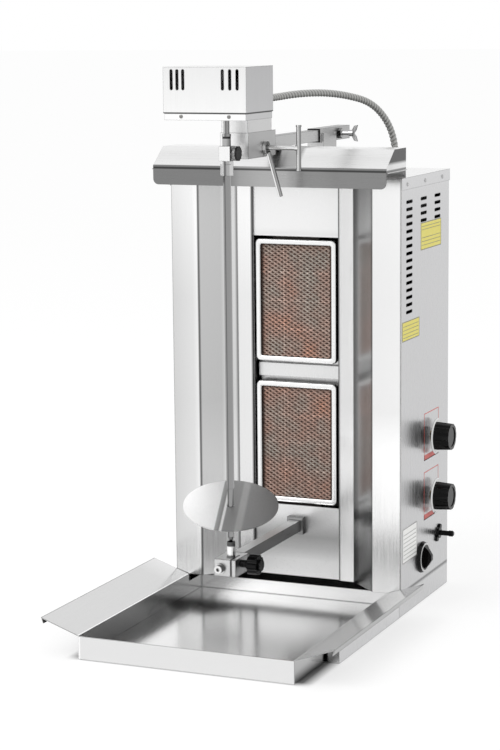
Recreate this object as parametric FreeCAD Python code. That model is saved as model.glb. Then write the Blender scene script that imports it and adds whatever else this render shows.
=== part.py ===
import FreeCAD, Part
import math
import os

# Gas grill with an upright skewer: a sheet-metal cabinet with two radiant burners,
# a drip tray that draws out to the front, and a motor head on a sliding arm.
# Lengths are in millimetres. X is to the right, Y to the back, Z up. While the pieces
# are made, Y is 0 at the cabinet's front face; at the end everything moves by
# origin_shift, so that the origin is at the bottom centre of the whole.

os.makedirs("parts", exist_ok=True)
V = FreeCAD.Vector
RIGHT = V(1, 0, 0)
BACK = V(0, 1, 0)
UP = V(0, 0, 1)

# Sheet thicknesses and clearances
sheet = 1.2
arm_wall = 1.8
slide_gap = 0.3
running_gap = 0.05
body_gap = 0.4

# Cabinet
cabinet_half_width = 197.0
cabinet_depth = 237.0
cabinet_top = 699.0
base_height = 37.0
base_flange = 18.0
base_front = -6.0
front_face_inner = 149.0
recess_outer = 100.3
recess_inner = 74.5
recess_depth = 46.4
channel_depth = 4.6
channel_return = 9.0
cap_flange = 19.0

# Burners
burner_width = 140.0
burner_height = 200.0
burner_border = 9.0
burner_lift = 3.4
burner_box_depth = 44.0
upper_burner_z = 494.0
lower_burner_z = 261.0
ceramic_thickness = 13.0
wire = 0.8
wire_pitch = 5.6
divider_height = 22.0
divider_half_width = 70.0
divider_setback = 10.0

# Hood
hood_inset = 1.0
hood_lip_front = 66.0
hood_lip_bottom = 687.0
hood_lip_top = 717.0
hood_crest_front = 28.0
hood_crest = 745.5
hood_back = 25.0
hood_cheek_bottom = 712.0
hood_corner = 9.0

# Tray and its rails
tray_rail_gap = 4.0
tray_front = 395.0
tray_tail = 50.0
tray_floor = 1.6
tray_wall_top = 36.0
tray_tail_top = 25.0
tray_wing_reach = 60.3
tray_wing_rise = 21.0
tray_wing_end = 1.5
tray_hem = 7.0
rail_front = 274.0
rail_height = 19.0
rail_width = 17.1
rail_lip = 16.0
rail_tongue = 110.0

# Skewer axis and the arms that carry it
skewer_forward = 220.0
arm_size = 18.0
upper_arm_z = 747.0
upper_arm_rear = 262.0
sleeve_front = 132.0
sleeve_rear = 268.0
lower_arm_z = 115.5
lower_arm_rear = 190.0
collar_size = 28.0
collar_length = 11.0
stand_front = 140.0
stand_rear = 198.0
wing_bolt_y = 217.0

# Motor head
head_half_width = 66.0
head_front = 298.0
head_rear = 198.0
pan_bottom = 800.0
pan_height = 10.0
head_height = 67.0
neck_half_width = 21.5
neck_front = 190.0
neck_rear = 98.0
saddle_bottom = 738.0
saddle_top = 777.0
saddle_rear = 86.0
clamp_screw_y = -130.0
clamp_screw_z = 752.0

# Skewer
skewer_side = 10.0
skewer_turn = 36.0
skewer_top = 756.0
square_end = 240.0
pin_radius = 4.5
pin_tip = 151.8
pin_taper = 13.0
stop_radius = 8.0
stop_height = 9.0
socket_side = 18.0
socket_bottom = 737.0
socket_top = 759.0
sleeve_drop = 22.0
disc_radius = 73.0
disc_sheet = 1.5
disc_z = 213.0
disc_tilt = 19.0
disc_heading = 24.0

# Lower support
cup_radius = 6.5
cup_top = 157.0
block_left = -20.0
block_right = 16.0
block_front = 240.0
block_rear = 190.0
block_bottom = 106.0
block_top = 133.0

# Controls on the right side panel
knob_y = 151.0
upper_knob_z = 268.0
lower_knob_z = 168.0
knob_radius = 23.0
knob_skirt_radius = 29.5
knob_standoff = 9.0
knob_skirt = 2.6
knob_reach = 36.0
knob_flutes = 10
tap_travel = 4.0
switch_y = 106.0
switch_z = 74.0
switch_radius = 26.0
igniter_y = 187.0
igniter_z = 97.0
igniter_travel = 6.0

# Vent slots of the side panels
slot_length = 30.0
slot_height = 5.0
slot_pitch = 11.57
slot_top_z = 660.3
slot_column_y = [39.0, 108.5, 177.8]
slot_counts = [16, 4, 4]

# Screws of the cabinet and of the head
screw_radius = 3.3
screw_height = 1.9

# Conduit from the head to the cabinet
conduit_radius = 5.6
conduit_bore = 4.2
conduit_groove = 0.7
conduit_ribs = 54
bore_rings = 41
gland_length = 12.0
conduit_route = [
    V(48, -186, 828),
    V(48, -152, 828),
    V(64, -100, 832),
    V(84, -42, 832),
    V(102, 14, 826),
    V(120.4, 74.2, 813.2),
    V(133.5, 116.4, 782),
    V(140, 136, 742),
    V(140, 136, 711),
]

panel_y = recess_depth + channel_depth
hood_half_width = cabinet_half_width - hood_inset
head_bottom = pan_bottom + pan_height
head_top = head_bottom + head_height
arm_half = arm_size / 2
skewer_y = -skewer_forward
whole_front = -tray_front
whole_rear = sleeve_rear
origin_shift = -(whole_front + whole_rear) / 2
nodes = {}


def box(x0, x1, y0, y1, z0, z1):
    return Part.makeBox(x1 - x0, y1 - y0, z1 - z0, V(x0, y0, z0))


def rod(start, axis, radius, length):
    return Part.makeCylinder(radius, length, start, axis)


def tube(start, axis, outer, inner, length):
    return rod(start, axis, outer, length).cut(rod(start, axis, inner, length))


def join(pieces):
    result = pieces[0]
    if len(pieces) > 1:
        result = result.multiFuse(pieces[1:])
    return result.removeSplitter()


def prism_x(points, x0, x1):
    ring = [V(x0, y, z) for y, z in points]
    return Part.Face(Part.makePolygon(ring + ring[:1])).extrude(V(x1 - x0, 0, 0))


def prism_y(points, y0, y1):
    ring = [V(x, y0, z) for x, z in points]
    return Part.Face(Part.makePolygon(ring + ring[:1])).extrude(V(0, y1 - y0, 0))


def prism_z(points, z0, z1):
    ring = [V(x, y, z0) for x, y in points]
    return Part.Face(Part.makePolygon(ring + ring[:1])).extrude(V(0, 0, z1 - z0))


def folded(path, thickness):
    # Closed outline of a sheet folded along a path; the metal lies to the left of the path
    inner = []
    last = len(path) - 1
    for i, (a, b) in enumerate(path):
        normals = []
        if i > 0:
            dx = a - path[i - 1][0]
            dy = b - path[i - 1][1]
            size = math.hypot(dx, dy)
            normals.append((-dy / size, dx / size))
        if i < last:
            dx = path[i + 1][0] - a
            dy = path[i + 1][1] - b
            size = math.hypot(dx, dy)
            normals.append((-dy / size, dx / size))
        nx = sum(n[0] for n in normals)
        ny = sum(n[1] for n in normals)
        size = math.hypot(nx, ny)
        nx = nx / size
        ny = ny / size
        reach = thickness / (nx * normals[0][0] + ny * normals[0][1])
        inner.append((a + nx * reach, b + ny * reach))
    return list(path) + inner[::-1]


def mirrored(shape):
    return shape.mirror(V(0, 0, 0), RIGHT)


def turned(shape, centre, axis, angle):
    copy = shape.copy()
    copy.rotate(centre, axis, angle)
    return copy


def rounded_plate(width, height, corner, x, y, z, depth):
    # Rounded rectangle in the XZ plane, centred at x and z, from y towards the back
    w = width / 2 - corner
    h = height / 2 - corner
    plate = [
        box(x - w, x + w, y, y + depth, z - height / 2, z + height / 2),
        box(x - width / 2, x + width / 2, y, y + depth, z - h, z + h),
    ]
    for sx in (-1, 1):
        for sz in (-1, 1):
            plate.append(rod(V(x + sx * w, y, z + sz * h), BACK, corner, depth))
    return join(plate)


def side_slot(x0, x1, y, z, length, height):
    # Round-ended slot through a side panel
    half = length / 2 - height / 2
    middle = box(x0, x1, y - half, y + half, z - height / 2, z + height / 2)
    front = rod(V(x0, y - half, z), RIGHT, height / 2, x1 - x0)
    rear = rod(V(x0, y + half, z), RIGHT, height / 2, x1 - x0)
    return join([middle, front, rear])


def upright_slot(x, y0, y1, z0, z1, width):
    # Round-ended upright slot through a front or back wall
    r = width / 2
    middle = box(x - r, x + r, y0, y1, z0 + r, z1 - r)
    low = rod(V(x, y0, z0 + r), BACK, r, y1 - y0)
    high = rod(V(x, y0, z1 - r), BACK, r, y1 - y0)
    return join([middle, low, high])


def pan_head(place, axis, radius, height):
    # Domed screw head
    head = rod(place, axis, radius, height * 0.45)
    dome = Part.makeCone(radius, radius * 0.55, height * 0.55, place + axis * (height * 0.45), axis)
    return join([head, dome])


def hexagon(place, axis, across, height):
    # Hexagonal prism of the given size across flats
    corner = across / math.sqrt(3)
    points = []
    for i in range(7):
        a = math.radians(60 * i)
        points.append(V(corner * math.cos(a), corner * math.sin(a), 0))
    prism = Part.Face(Part.makePolygon(points)).extrude(V(0, 0, height))
    prism.Placement = FreeCAD.Placement(place, FreeCAD.Rotation(UP, axis))
    return prism


def keep(name, *shapes):
    nodes[name] = list(shapes)


# Base frame: a folded skirt, open to the front for the tray
skirt = folded([
    (-cabinet_half_width, base_front),
    (-cabinet_half_width, cabinet_depth),
    (cabinet_half_width, cabinet_depth),
    (cabinet_half_width, base_front),
], -sheet)
inner_skirt = cabinet_half_width - sheet
base_pieces = [prism_z(skirt, 0, base_height)]
for side in (-1, 1):
    x_out = side * inner_skirt
    x_in = side * (inner_skirt - base_flange)
    low, high = sorted((x_in, x_out))
    base_pieces.append(box(low, high, base_front, cabinet_depth - sheet, base_height - sheet, base_height))
rear_low = cabinet_depth - sheet - base_flange
base_pieces.append(box(-inner_skirt, inner_skirt, rear_low, cabinet_depth - sheet, 0, sheet))
base_pieces.append(box(-inner_skirt, inner_skirt, rear_low, cabinet_depth - sheet, base_height - sheet, base_height))
keep("base_frame", join(base_pieces))

# Rails: closed tubes that run on from the base frame, with a lip that carries the tray
rail_outer = inner_skirt
rail_inner = inner_skirt - rail_width
tray_half_width = rail_inner - tray_rail_gap
rail_section = box(rail_inner, rail_outer, -rail_front, rail_tongue, 0, rail_height)
rail_hollow = box(
    rail_inner + sheet, rail_outer - sheet, -rail_front + sheet, rail_tongue + sheet, sheet, rail_height - sheet)
rail_skin = box(rail_outer, cabinet_half_width, -rail_front, base_front - body_gap, 0, rail_height)
rail_carrier = box(rail_inner - rail_lip, rail_inner, -rail_front, rail_tongue, 0, sheet)
right_rail = join([rail_section.cut(rail_hollow), rail_skin, rail_carrier])
keep("right_rail", right_rail)
keep("left_rail", mirrored(right_rail))

# Drip tray: one folded sheet with flared wings, closed by a front wall and a low tail wall
wing_x = tray_half_width + tray_wing_reach
wing_z = tray_wall_top + tray_wing_rise
tray_section = folded([
    (-wing_x + tray_hem * 0.35, wing_z - tray_hem),
    (-wing_x, wing_z),
    (-tray_half_width, tray_wall_top),
    (-tray_half_width, tray_floor),
    (tray_half_width, tray_floor),
    (tray_half_width, tray_wall_top),
    (wing_x, wing_z),
    (wing_x - tray_hem * 0.35, wing_z - tray_hem),
], sheet)
tail_section = folded([
    (-tray_half_width, tray_tail_top),
    (-tray_half_width, tray_floor),
    (tray_half_width, tray_floor),
    (tray_half_width, tray_tail_top),
], sheet)
tray = join([
    prism_y(tray_section, -tray_front, -tray_wing_end),
    prism_y(tail_section, -tray_wing_end, tray_tail),
    box(-tray_half_width, tray_half_width, -tray_front, -tray_front + sheet, 0.4, tray_wall_top),
    box(-tray_half_width, tray_half_width, tray_tail - sheet, tray_tail, tray_floor, tray_tail_top),
])
keep("drip_tray", tray)

# Front panels: flat wing, angled reflector and strip beside the burner channel
strip_path = [
    (-inner_skirt, 16.0),
    (-inner_skirt, 0.0),
    (-front_face_inner, 0.0),
    (-recess_outer, recess_depth),
    (-recess_inner, recess_depth),
    (-recess_inner, panel_y + channel_return),
]
panel_top = cabinet_top - sheet
left_front = prism_z(folded(strip_path, sheet), base_height, panel_top)
keep("left_front_panel", left_front)
keep("right_front_panel", mirrored(left_front))

# Centre panel: a sheet with side flanges, cut out between them for the burners and the lower arm's collar
burner_gap = 4.5
window_bottom = lower_burner_z - burner_height / 2 - burner_gap
window_top = upper_burner_z + burner_height / 2 + burner_gap
flange_inner = recess_inner - sheet
centre_panel = prism_z(folded([
    (-recess_inner, panel_y + channel_return),
    (-recess_inner, panel_y),
    (recess_inner, panel_y),
    (recess_inner, panel_y + channel_return),
], sheet), base_height, panel_top)
centre_panel = centre_panel.cut(box(
    -flange_inner, flange_inner, panel_y - 1, panel_y + sheet + 1, window_bottom, window_top))
guide_half = arm_half + slide_gap + arm_wall
lower_mid = lower_arm_z + arm_half
centre_panel = centre_panel.cut(box(
    -guide_half, guide_half, panel_y - 1, panel_y + sheet + 1, lower_mid - guide_half, lower_mid + guide_half))
keep("centre_panel", centre_panel)

# Strip between the two burners: a folded hat that stands on the lower gas box and carries the upper one
frame_x = burner_width / 2 - burner_border + 3.0
frame_z = burner_height / 2 - burner_border + 3.0
shell_x = frame_x - body_gap
shell_z = frame_z - body_gap
divider_mid = (upper_burner_z + lower_burner_z) / 2 + 1.0
divider_front = panel_y + divider_setback
divider_back = divider_front + channel_return
divider = prism_x(folded([
    (divider_back, lower_burner_z + shell_z),
    (divider_back, divider_mid - divider_height / 2),
    (divider_front, divider_mid - divider_height / 2),
    (divider_front, divider_mid + divider_height / 2),
    (divider_back, divider_mid + divider_height / 2),
    (divider_back, upper_burner_z - shell_z),
], -sheet), -divider_half_width, divider_half_width)
keep("burner_divider", divider)


def burner(name, mid, lug_low, lug_high):
    # Rim, wire mesh, ceramic tiles and the gas box of one radiant burner
    rim_front = panel_y - burner_lift
    rim = rounded_plate(burner_width, burner_height, 8.0, 0, rim_front, mid, burner_lift)
    hollow = rounded_plate(
        burner_width - 2 * sheet, burner_height - 2 * sheet, 6.8, 0, rim_front + sheet, mid, burner_lift)
    window = rounded_plate(
        burner_width - 2 * burner_border, burner_height - 2 * burner_border, 4.0, 0, rim_front - 1, mid, 8.0)
    rim = rim.cut(hollow).cut(window)
    half_x = frame_x - 0.2
    half_z = frame_z - 0.2
    first = rim_front + sheet
    wires = []
    for layer, lean in ((0, 1), (1, -1)):
        y = first + layer * wire
        reach = half_x + half_z
        count = int(2 * reach / wire_pitch)
        for i in range(count + 1):
            offset = -reach + i * wire_pitch + wire_pitch / 2
            x_low = max(-half_x, offset - half_z)
            x_high = min(half_x, offset + half_z)
            if x_high - x_low < 2.0:
                continue
            z_low = x_low - offset
            z_high = x_high - offset
            w = wire * 0.7
            outline = [
                (lean * (x_low - w), mid + z_low),
                (lean * (x_low + w), mid + z_low),
                (lean * (x_high + w), mid + z_high),
                (lean * (x_high - w), mid + z_high),
            ]
            wires.append(prism_y(outline, y, y + wire))
    keep(name + "_burner_screen", rim, *wires)
    back = first + 2 * wire
    wall = 1.5
    outer = box(-shell_x, shell_x, back, back + burner_box_depth, mid - shell_z, mid + shell_z)
    inner = box(
        -shell_x + wall, shell_x - wall, back - 1, back + burner_box_depth - wall,
        mid - shell_z + wall, mid + shell_z - wall)
    lug = box(-lug_half_width, lug_half_width, panel_y + sheet, panel_y + 2 * sheet, lug_low, lug_high)
    mixer_z = mid - shell_z + 22.0
    mixer_y = back + burner_box_depth + 9.0
    mixer = tube(V(-40, mixer_y, mixer_z), RIGHT, 11.0, 9.6, 122.0)
    seat = box(-36, -12, back + burner_box_depth - wall, mixer_y, mixer_z - 8, mixer_z + 8)
    seat = seat.cut(rod(V(-60, mixer_y, mixer_z), RIGHT, 11.0, 200.0))
    mouth = Part.makeCone(11.0, 14.0, 10.0, V(82, mixer_y, mixer_z), RIGHT)
    mouth = mouth.cut(Part.makeCone(9.6, 12.6, 10.0, V(82, mixer_y, mixer_z), RIGHT))
    keep(name + "_burner_box", join([outer.cut(inner), lug, mixer, seat, mouth]))
    tile_front = back + 2.0
    gap = 0.6
    tiles = []
    for part in (-1, 1):
        z0 = mid - shell_z + wall if part < 0 else mid + gap
        z1 = mid - gap if part < 0 else mid + shell_z - wall
        tiles.append(box(-shell_x + wall, shell_x - wall, tile_front, tile_front + ceramic_thickness, z0, z1))
    return tiles, mixer_y, mixer_z


lug_half_width = 40.0
lug_overlap = 6.0
upper_edge = upper_burner_z + shell_z
lower_edge = lower_burner_z - shell_z
upper_tiles, mixer_y, upper_mixer_z = burner("upper", upper_burner_z, upper_edge - sheet, window_top + lug_overlap)
lower_tiles, mixer_y, lower_mixer_z = burner("lower", lower_burner_z, window_bottom - lug_overlap, lower_edge + sheet)
keep("ceramic_tiles", *upper_tiles, *lower_tiles)

# Side panels with vent slots, tucked behind the top cover's flanges
side_front = 1.6
side_path = [
    (inner_skirt - 12.0, base_height),
    (cabinet_half_width, base_height),
    (cabinet_half_width, panel_top),
]
side_section = folded(side_path, sheet)
side_panel = prism_y(side_section, side_front, cabinet_depth)
side_panel = side_panel.cut(box(0, inner_skirt, -5, 17.5, 0, 60))
side_panel = side_panel.cut(box(0, inner_skirt, cabinet_depth - sheet, cabinet_depth + 5, 0, 60))
for column, count in zip(slot_column_y, slot_counts):
    for i in range(count):
        z = slot_top_z - i * slot_pitch
        side_panel = side_panel.cut(side_slot(
            inner_skirt - 1, cabinet_half_width + 1, column, z, slot_length, slot_height))
left_panel = mirrored(side_panel)
tap_hole = 8.4
for z in (upper_knob_z, lower_knob_z):
    side_panel = side_panel.cut(rod(V(inner_skirt - 5, knob_y, z), RIGHT, tap_hole, 20))
switch_hole = 15.0
side_panel = side_panel.cut(rod(V(inner_skirt - 5, switch_y, switch_z), RIGHT, switch_hole, 20))
igniter_hole = 7.2
side_panel = side_panel.cut(rod(V(inner_skirt - 5, igniter_y, igniter_z), RIGHT, igniter_hole, 20))
keep("right_side_panel", side_panel)
keep("left_side_panel", left_panel)

# Back panel with two fields of vent slots and a hole for the gas inlet
inlet_x = cabinet_half_width - 47.0
inlet_z = 100.0
back_panel = box(
    -cabinet_half_width + sheet, cabinet_half_width - sheet, cabinet_depth - sheet, cabinet_depth,
    base_height, panel_top)
for field in (-1, 1):
    for i in range(7):
        x = field * 90.0 + (i - 3) * 14.0
        back_panel = back_panel.cut(upright_slot(x, cabinet_depth - 4, cabinet_depth + 2, 520, 600, 5.0))
back_panel = back_panel.cut(rod(V(inlet_x, cabinet_depth - 5, inlet_z), BACK, 12.0, 10))
keep("back_panel", back_panel)

# Top cover: flat plate with flanges folded down over the sides and the back
cover_outer = cabinet_half_width + sheet
cover_path = [
    (-cover_outer, cabinet_top - cap_flange),
    (-cover_outer, cabinet_top),
    (cover_outer, cabinet_top),
    (cover_outer, cabinet_top - cap_flange),
]
cover_back = cabinet_depth + sheet
top_cover = join([
    prism_y(folded(cover_path, -sheet), 0, cover_back),
    box(-cover_outer, cover_outer, cabinet_depth, cover_back, cabinet_top - cap_flange, cabinet_top),
])
landing = conduit_route[-1]
top_cover = top_cover.cut(rod(V(landing.x, landing.y, cabinet_top - 5), UP, 6.0, 10))
keep("top_cover", top_cover)

# Hood: rolled visor with a drop lip, closed by a cheek at each end
hood_path = [
    (-hood_lip_front, hood_lip_bottom),
    (-hood_lip_front, hood_lip_top),
    (-hood_crest_front, hood_crest),
    (hood_back, hood_crest),
    (hood_back, cabinet_top),
    (hood_back + 13.0, cabinet_top),
]
hood_skin = prism_x(folded(hood_path[:5], -sheet), -hood_half_width, hood_half_width)
hood_foot = box(-150, 150, hood_back, hood_back + 13.0, cabinet_top, cabinet_top + sheet)
for side in (-1, 1):
    corner_x = side * hood_half_width
    x0, x1 = sorted((corner_x, corner_x - side * hood_corner))
    square = box(x0, x1, -hood_lip_front - 1, -hood_lip_front + sheet + 1,
                 hood_lip_bottom - 1, hood_lip_bottom + hood_corner)
    arc = rod(V(corner_x - side * hood_corner, -hood_lip_front - 2, hood_lip_bottom + hood_corner),
              BACK, hood_corner, 6)
    hood_skin = hood_skin.cut(square.cut(arc))
cheek_outline = [
    (-hood_lip_front + 0.6, hood_cheek_bottom),
    (-hood_lip_front + 0.6, hood_lip_top - 0.5),
    (-hood_crest_front + 0.3, hood_crest - 0.6),
    (hood_back - 0.6, hood_crest - 0.6),
    (hood_back - 0.6, hood_cheek_bottom),
]
hood_pieces = [hood_skin, hood_foot]
for side in (-1, 1):
    x0, x1 = sorted((side * hood_half_width, side * (hood_half_width - sheet)))
    hood_pieces.append(prism_x(cheek_outline, x0, x1))
    f0, f1 = sorted((side * (hood_half_width - 11.0), side * (hood_half_width + 2.0)))
    hood_pieces.append(box(f0, f1, -hood_lip_front + 0.6, hood_back - 0.6,
                           hood_cheek_bottom - sheet, hood_cheek_bottom))
keep("hood", join(hood_pieces))

# Stand and square sleeve that guide the upper arm
sleeve_half = arm_half + slide_gap + arm_wall
upper_mid = upper_arm_z + arm_half
sleeve = box(-sleeve_half, sleeve_half, sleeve_front, sleeve_rear, upper_mid - sleeve_half, upper_mid + sleeve_half)
bore = box(-arm_half - slide_gap, arm_half + slide_gap, sleeve_front - 1, sleeve_rear + 1,
           upper_mid - arm_half - slide_gap, upper_mid + arm_half + slide_gap)
nut = hexagon(V(sleeve_half - 0.2, wing_bolt_y, upper_mid), RIGHT, 15.0, 6.2)
sleeve = join([sleeve, nut]).cut(bore)
sleeve = sleeve.cut(rod(V(0, wing_bolt_y, upper_mid), RIGHT, 4.0 + running_gap, 40))
keep("arm_sleeve", sleeve)
stand_plate = 3.0
stand_side = prism_y([
    (sleeve_half, cabinet_top),
    (sleeve_half + 22.0, cabinet_top),
    (sleeve_half + 22.0, cabinet_top + stand_plate),
    (sleeve_half + stand_plate, cabinet_top + stand_plate),
    (sleeve_half + stand_plate, upper_mid + 4.0),
    (sleeve_half, upper_mid + 4.0),
], stand_front, stand_rear)
stand_web = box(-sleeve_half, sleeve_half, stand_front, stand_front + stand_plate,
                cabinet_top, upper_mid - sleeve_half)
keep("sleeve_stand", join([stand_side, mirrored(stand_side), stand_web]))

# Collar on the centre panel and the guide tube behind it, for the lower arm
collar = box(-collar_size / 2, collar_size / 2, panel_y - collar_length, panel_y,
             lower_mid - collar_size / 2, lower_mid + collar_size / 2)
guide = box(-guide_half, guide_half, panel_y, cabinet_depth - sheet, lower_mid - guide_half, lower_mid + guide_half)
guide_bore = box(-arm_half - slide_gap, arm_half + slide_gap, panel_y - collar_length - 1, cabinet_depth - sheet,
                 lower_mid - arm_half - slide_gap, lower_mid + arm_half + slide_gap)
keep("arm_collar", join([collar, guide]).cut(guide_bore))


def square_tube(y0, y1, z0):
    # Square arm tube with a closed front end
    outer = box(-arm_half, arm_half, y0, y1, z0, z0 + arm_size)
    inner = box(-arm_half + arm_wall, arm_half - arm_wall, y0 + arm_wall, y1 + 1, z0 + arm_wall, z0 + arm_size - arm_wall)
    return outer.cut(inner)


# Upper arm, the neck that it is pushed into, and the saddle round the neck's foot
upper_arm = square_tube(-neck_front + 6.0, upper_arm_rear, upper_arm_z)
keep("upper_arm", upper_arm)
clamp_block = box(-neck_half_width, neck_half_width, -neck_front, -neck_rear, saddle_bottom + 1.5, saddle_top - 2.0)
neck_outer = box(-neck_half_width, neck_half_width, -neck_front, -neck_rear, saddle_top - 2.0, pan_bottom + sheet)
neck_inner = box(-neck_half_width + sheet, neck_half_width - sheet, -neck_front + sheet, -neck_rear - sheet,
                 saddle_top - 2.0, pan_bottom)
neck = join([clamp_block, neck_outer.cut(neck_inner)])
neck = neck.cut(box(-arm_half, arm_half, -neck_front + 6.0, -neck_rear + 1, upper_arm_z, upper_arm_z + arm_size))
clamp_bolt = 5.0
neck = neck.cut(rod(V(0, clamp_screw_y, clamp_screw_z), RIGHT, clamp_bolt + running_gap, 60))
keep("neck", neck)
saddle_half = neck_half_width + 1.5
saddle_section = folded([
    (-saddle_half, saddle_top),
    (-saddle_half, saddle_bottom),
    (saddle_half, saddle_bottom),
    (saddle_half, saddle_top),
], 1.5)
saddle = join([
    prism_y(saddle_section, -neck_front - 1.5, -saddle_rear),
    box(-saddle_half, saddle_half, -neck_front - 1.5, -neck_front, saddle_bottom, saddle_top),
])
saddle = saddle.cut(rod(V(0, clamp_screw_y, clamp_screw_z), RIGHT, clamp_bolt + running_gap, 60))
keep("saddle", saddle)

# Head pan: floor with folded edges and a tongue that lies on the neck
pan_inset = sheet
pan_half = head_half_width - pan_inset
pan_front = -head_front + pan_inset
pan_rear = -head_rear - pan_inset
pan_floor = box(-pan_half, pan_half, pan_front, pan_rear, pan_bottom, pan_bottom + sheet)
pan_wall = box(-pan_half, pan_half, pan_front, pan_rear, pan_bottom, head_bottom + 6.0)
pan_wall = pan_wall.cut(box(-pan_half + sheet, pan_half - sheet, pan_front + sheet, pan_rear - sheet,
                            pan_bottom - 1, head_bottom + 8.0))
tongue = box(-neck_half_width, neck_half_width, pan_rear, -neck_front + 24.0,
             pan_bottom + sheet, pan_bottom + 2 * sheet)
riser = box(-neck_half_width, neck_half_width, pan_rear - sheet, pan_rear + sheet, pan_bottom, pan_bottom + 2 * sheet)
head_pan = join([pan_floor, pan_wall, tongue, riser])
head_pan = head_pan.cut(rod(V(0, skewer_y, pan_bottom - 5), UP, pin_radius + 3.0, 12))
keep("head_pan", head_pan)

# Head cover: folded box, open below, with three slots at each end of its front
cover = box(-head_half_width, head_half_width, -head_front, -head_rear, head_bottom, head_top)
cover = cover.cut(box(-head_half_width + sheet, head_half_width - sheet, -head_front + sheet, -head_rear - sheet,
                      head_bottom - 1, head_top - sheet))
for x in (-52.5, -43.2, -33.9, 28.9, 40.4, 52.0):
    cover = cover.cut(upright_slot(x, -head_front - 1, -head_front + 3, head_top - 33.5, head_top - 3.5, 4.6))
exit_point = conduit_route[0]
cover = cover.cut(rod(V(exit_point.x, -head_rear - 5, exit_point.z), BACK, 6.0, 10))
keep("head_cover", cover)

# Geared motor inside the head
gear_bottom = pan_bottom + sheet
gear_case = box(-32, 32, skewer_y - 36, skewer_y + 14, gear_bottom, gear_bottom + 30)
gear_case = gear_case.cut(rod(V(0, skewer_y, gear_bottom - 1), UP, pin_radius + running_gap, 17))
motor = join([
    box(-25, 25, skewer_y - 36, skewer_y + 14, gear_bottom + 30, gear_bottom + 52),
    rod(V(0, skewer_y - 11, gear_bottom + 52), UP, 18.0, 18.0),
])
keep("gear_motor", gear_case, motor)

# Clamp screw with its T handle, through the saddle's right side
screw_start = arm_half + running_gap
screw_reach = 56.0
screw = join([
    rod(V(screw_start, clamp_screw_y, clamp_screw_z), RIGHT, clamp_bolt, saddle_half - screw_start + 6.0),
    rod(V(saddle_half + 6.0, clamp_screw_y, clamp_screw_z), RIGHT, 3.6, screw_reach - 6.0),
    rod(V(saddle_half + screw_reach, clamp_screw_y, clamp_screw_z - 33.5), UP, 3.6, 67.0),
    rod(V(saddle_half + screw_reach, clamp_screw_y, clamp_screw_z + 31.5), UP, 4.3, 3.0),
    rod(V(saddle_half + screw_reach, clamp_screw_y, clamp_screw_z - 34.5), UP, 4.3, 3.0),
    rod(V(saddle_half + screw_reach - 5.5, clamp_screw_y, clamp_screw_z), RIGHT, 4.6, 5.5),
])
keep("clamp_screw", screw)

# Lock lever: a nut on the clamp screw with a long bar
lever_nut = tube(V(saddle_half + body_gap, clamp_screw_y, clamp_screw_z), RIGHT, 9.5, clamp_bolt + running_gap, 5.2)
lever_axis = V(10.0, 28.0, -76.0).normalize()
lever_start = V(saddle_half + body_gap + 4.0, clamp_screw_y, clamp_screw_z) + lever_axis * 7.2
lever_bar = rod(lever_start, lever_axis, 3.6, 74.0)
keep("lock_lever", join([lever_nut, lever_bar]))

# Wing bolt that fixes the arm in its sleeve
wing_head = sleeve_half + 22.0
wing_profile = [
    (wing_head, -1.6),
    (wing_head + 6.0, -12.5),
    (wing_head + 11.5, -13.5),
    (wing_head + 9.0, -5.0),
    (wing_head + 5.5, 0.0),
    (wing_head + 9.0, 5.0),
    (wing_head + 11.5, 13.5),
    (wing_head + 6.0, 12.5),
    (wing_head, 1.6),
]
wing = prism_y([(x, upper_mid + z) for x, z in wing_profile], wing_bolt_y - 2.2, wing_bolt_y + 2.2)
wing_bolt = join([
    rod(V(arm_half + 0.05, wing_bolt_y, upper_mid), RIGHT, 4.0, wing_head - arm_half + 3.0),
    rod(V(wing_head - 3.0, wing_bolt_y, upper_mid), RIGHT, 5.5, 7.0),
    wing,
])
keep("wing_bolt", wing_bolt)

# Spindle: motor shaft, collar and the socket that takes the skewer
axis_foot = V(0, skewer_y, 0)
socket_shoulder = socket_top + 14.0
shaft_start = socket_top + 6.0
shaft = rod(V(0, skewer_y, shaft_start), UP, pin_radius, gear_bottom + 14.0 - shaft_start)
keep("spindle_shaft", join([shaft, rod(V(0, skewer_y, socket_shoulder), UP, 6.8, 4.0)]))
socket_half = socket_side / 2
socket_bore = box(-skewer_side / 2, skewer_side / 2, skewer_y - skewer_side / 2, skewer_y + skewer_side / 2,
                  socket_bottom - sleeve_drop - 1, skewer_top)
socket_bore = turned(socket_bore, axis_foot, UP, skewer_turn)
drop_half = skewer_side / 2 + 3.2
drop = box(-drop_half, drop_half, skewer_y - drop_half, skewer_y + drop_half, socket_bottom - sleeve_drop, socket_bottom)
drop = turned(drop, axis_foot, UP, skewer_turn)
thumb_z = (socket_bottom + socket_top) / 2
thumb_radius = 3.0
socket = join([
    box(-socket_half, socket_half, skewer_y - socket_half, skewer_y + socket_half, socket_bottom, socket_top),
    rod(V(0, skewer_y, socket_top), UP, 6.4, socket_shoulder - socket_top),
    rod(V(0, skewer_y, socket_bottom - 5.0), UP, 9.6, 5.0),
    drop,
])
socket = socket.cut(socket_bore)
socket = socket.cut(rod(V(0, skewer_y, socket_top + 6.0), UP, pin_radius, 20))
socket = socket.cut(rod(V(0, skewer_y, thumb_z), RIGHT, thumb_radius + running_gap, 30))
keep("skewer_socket", socket)

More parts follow.
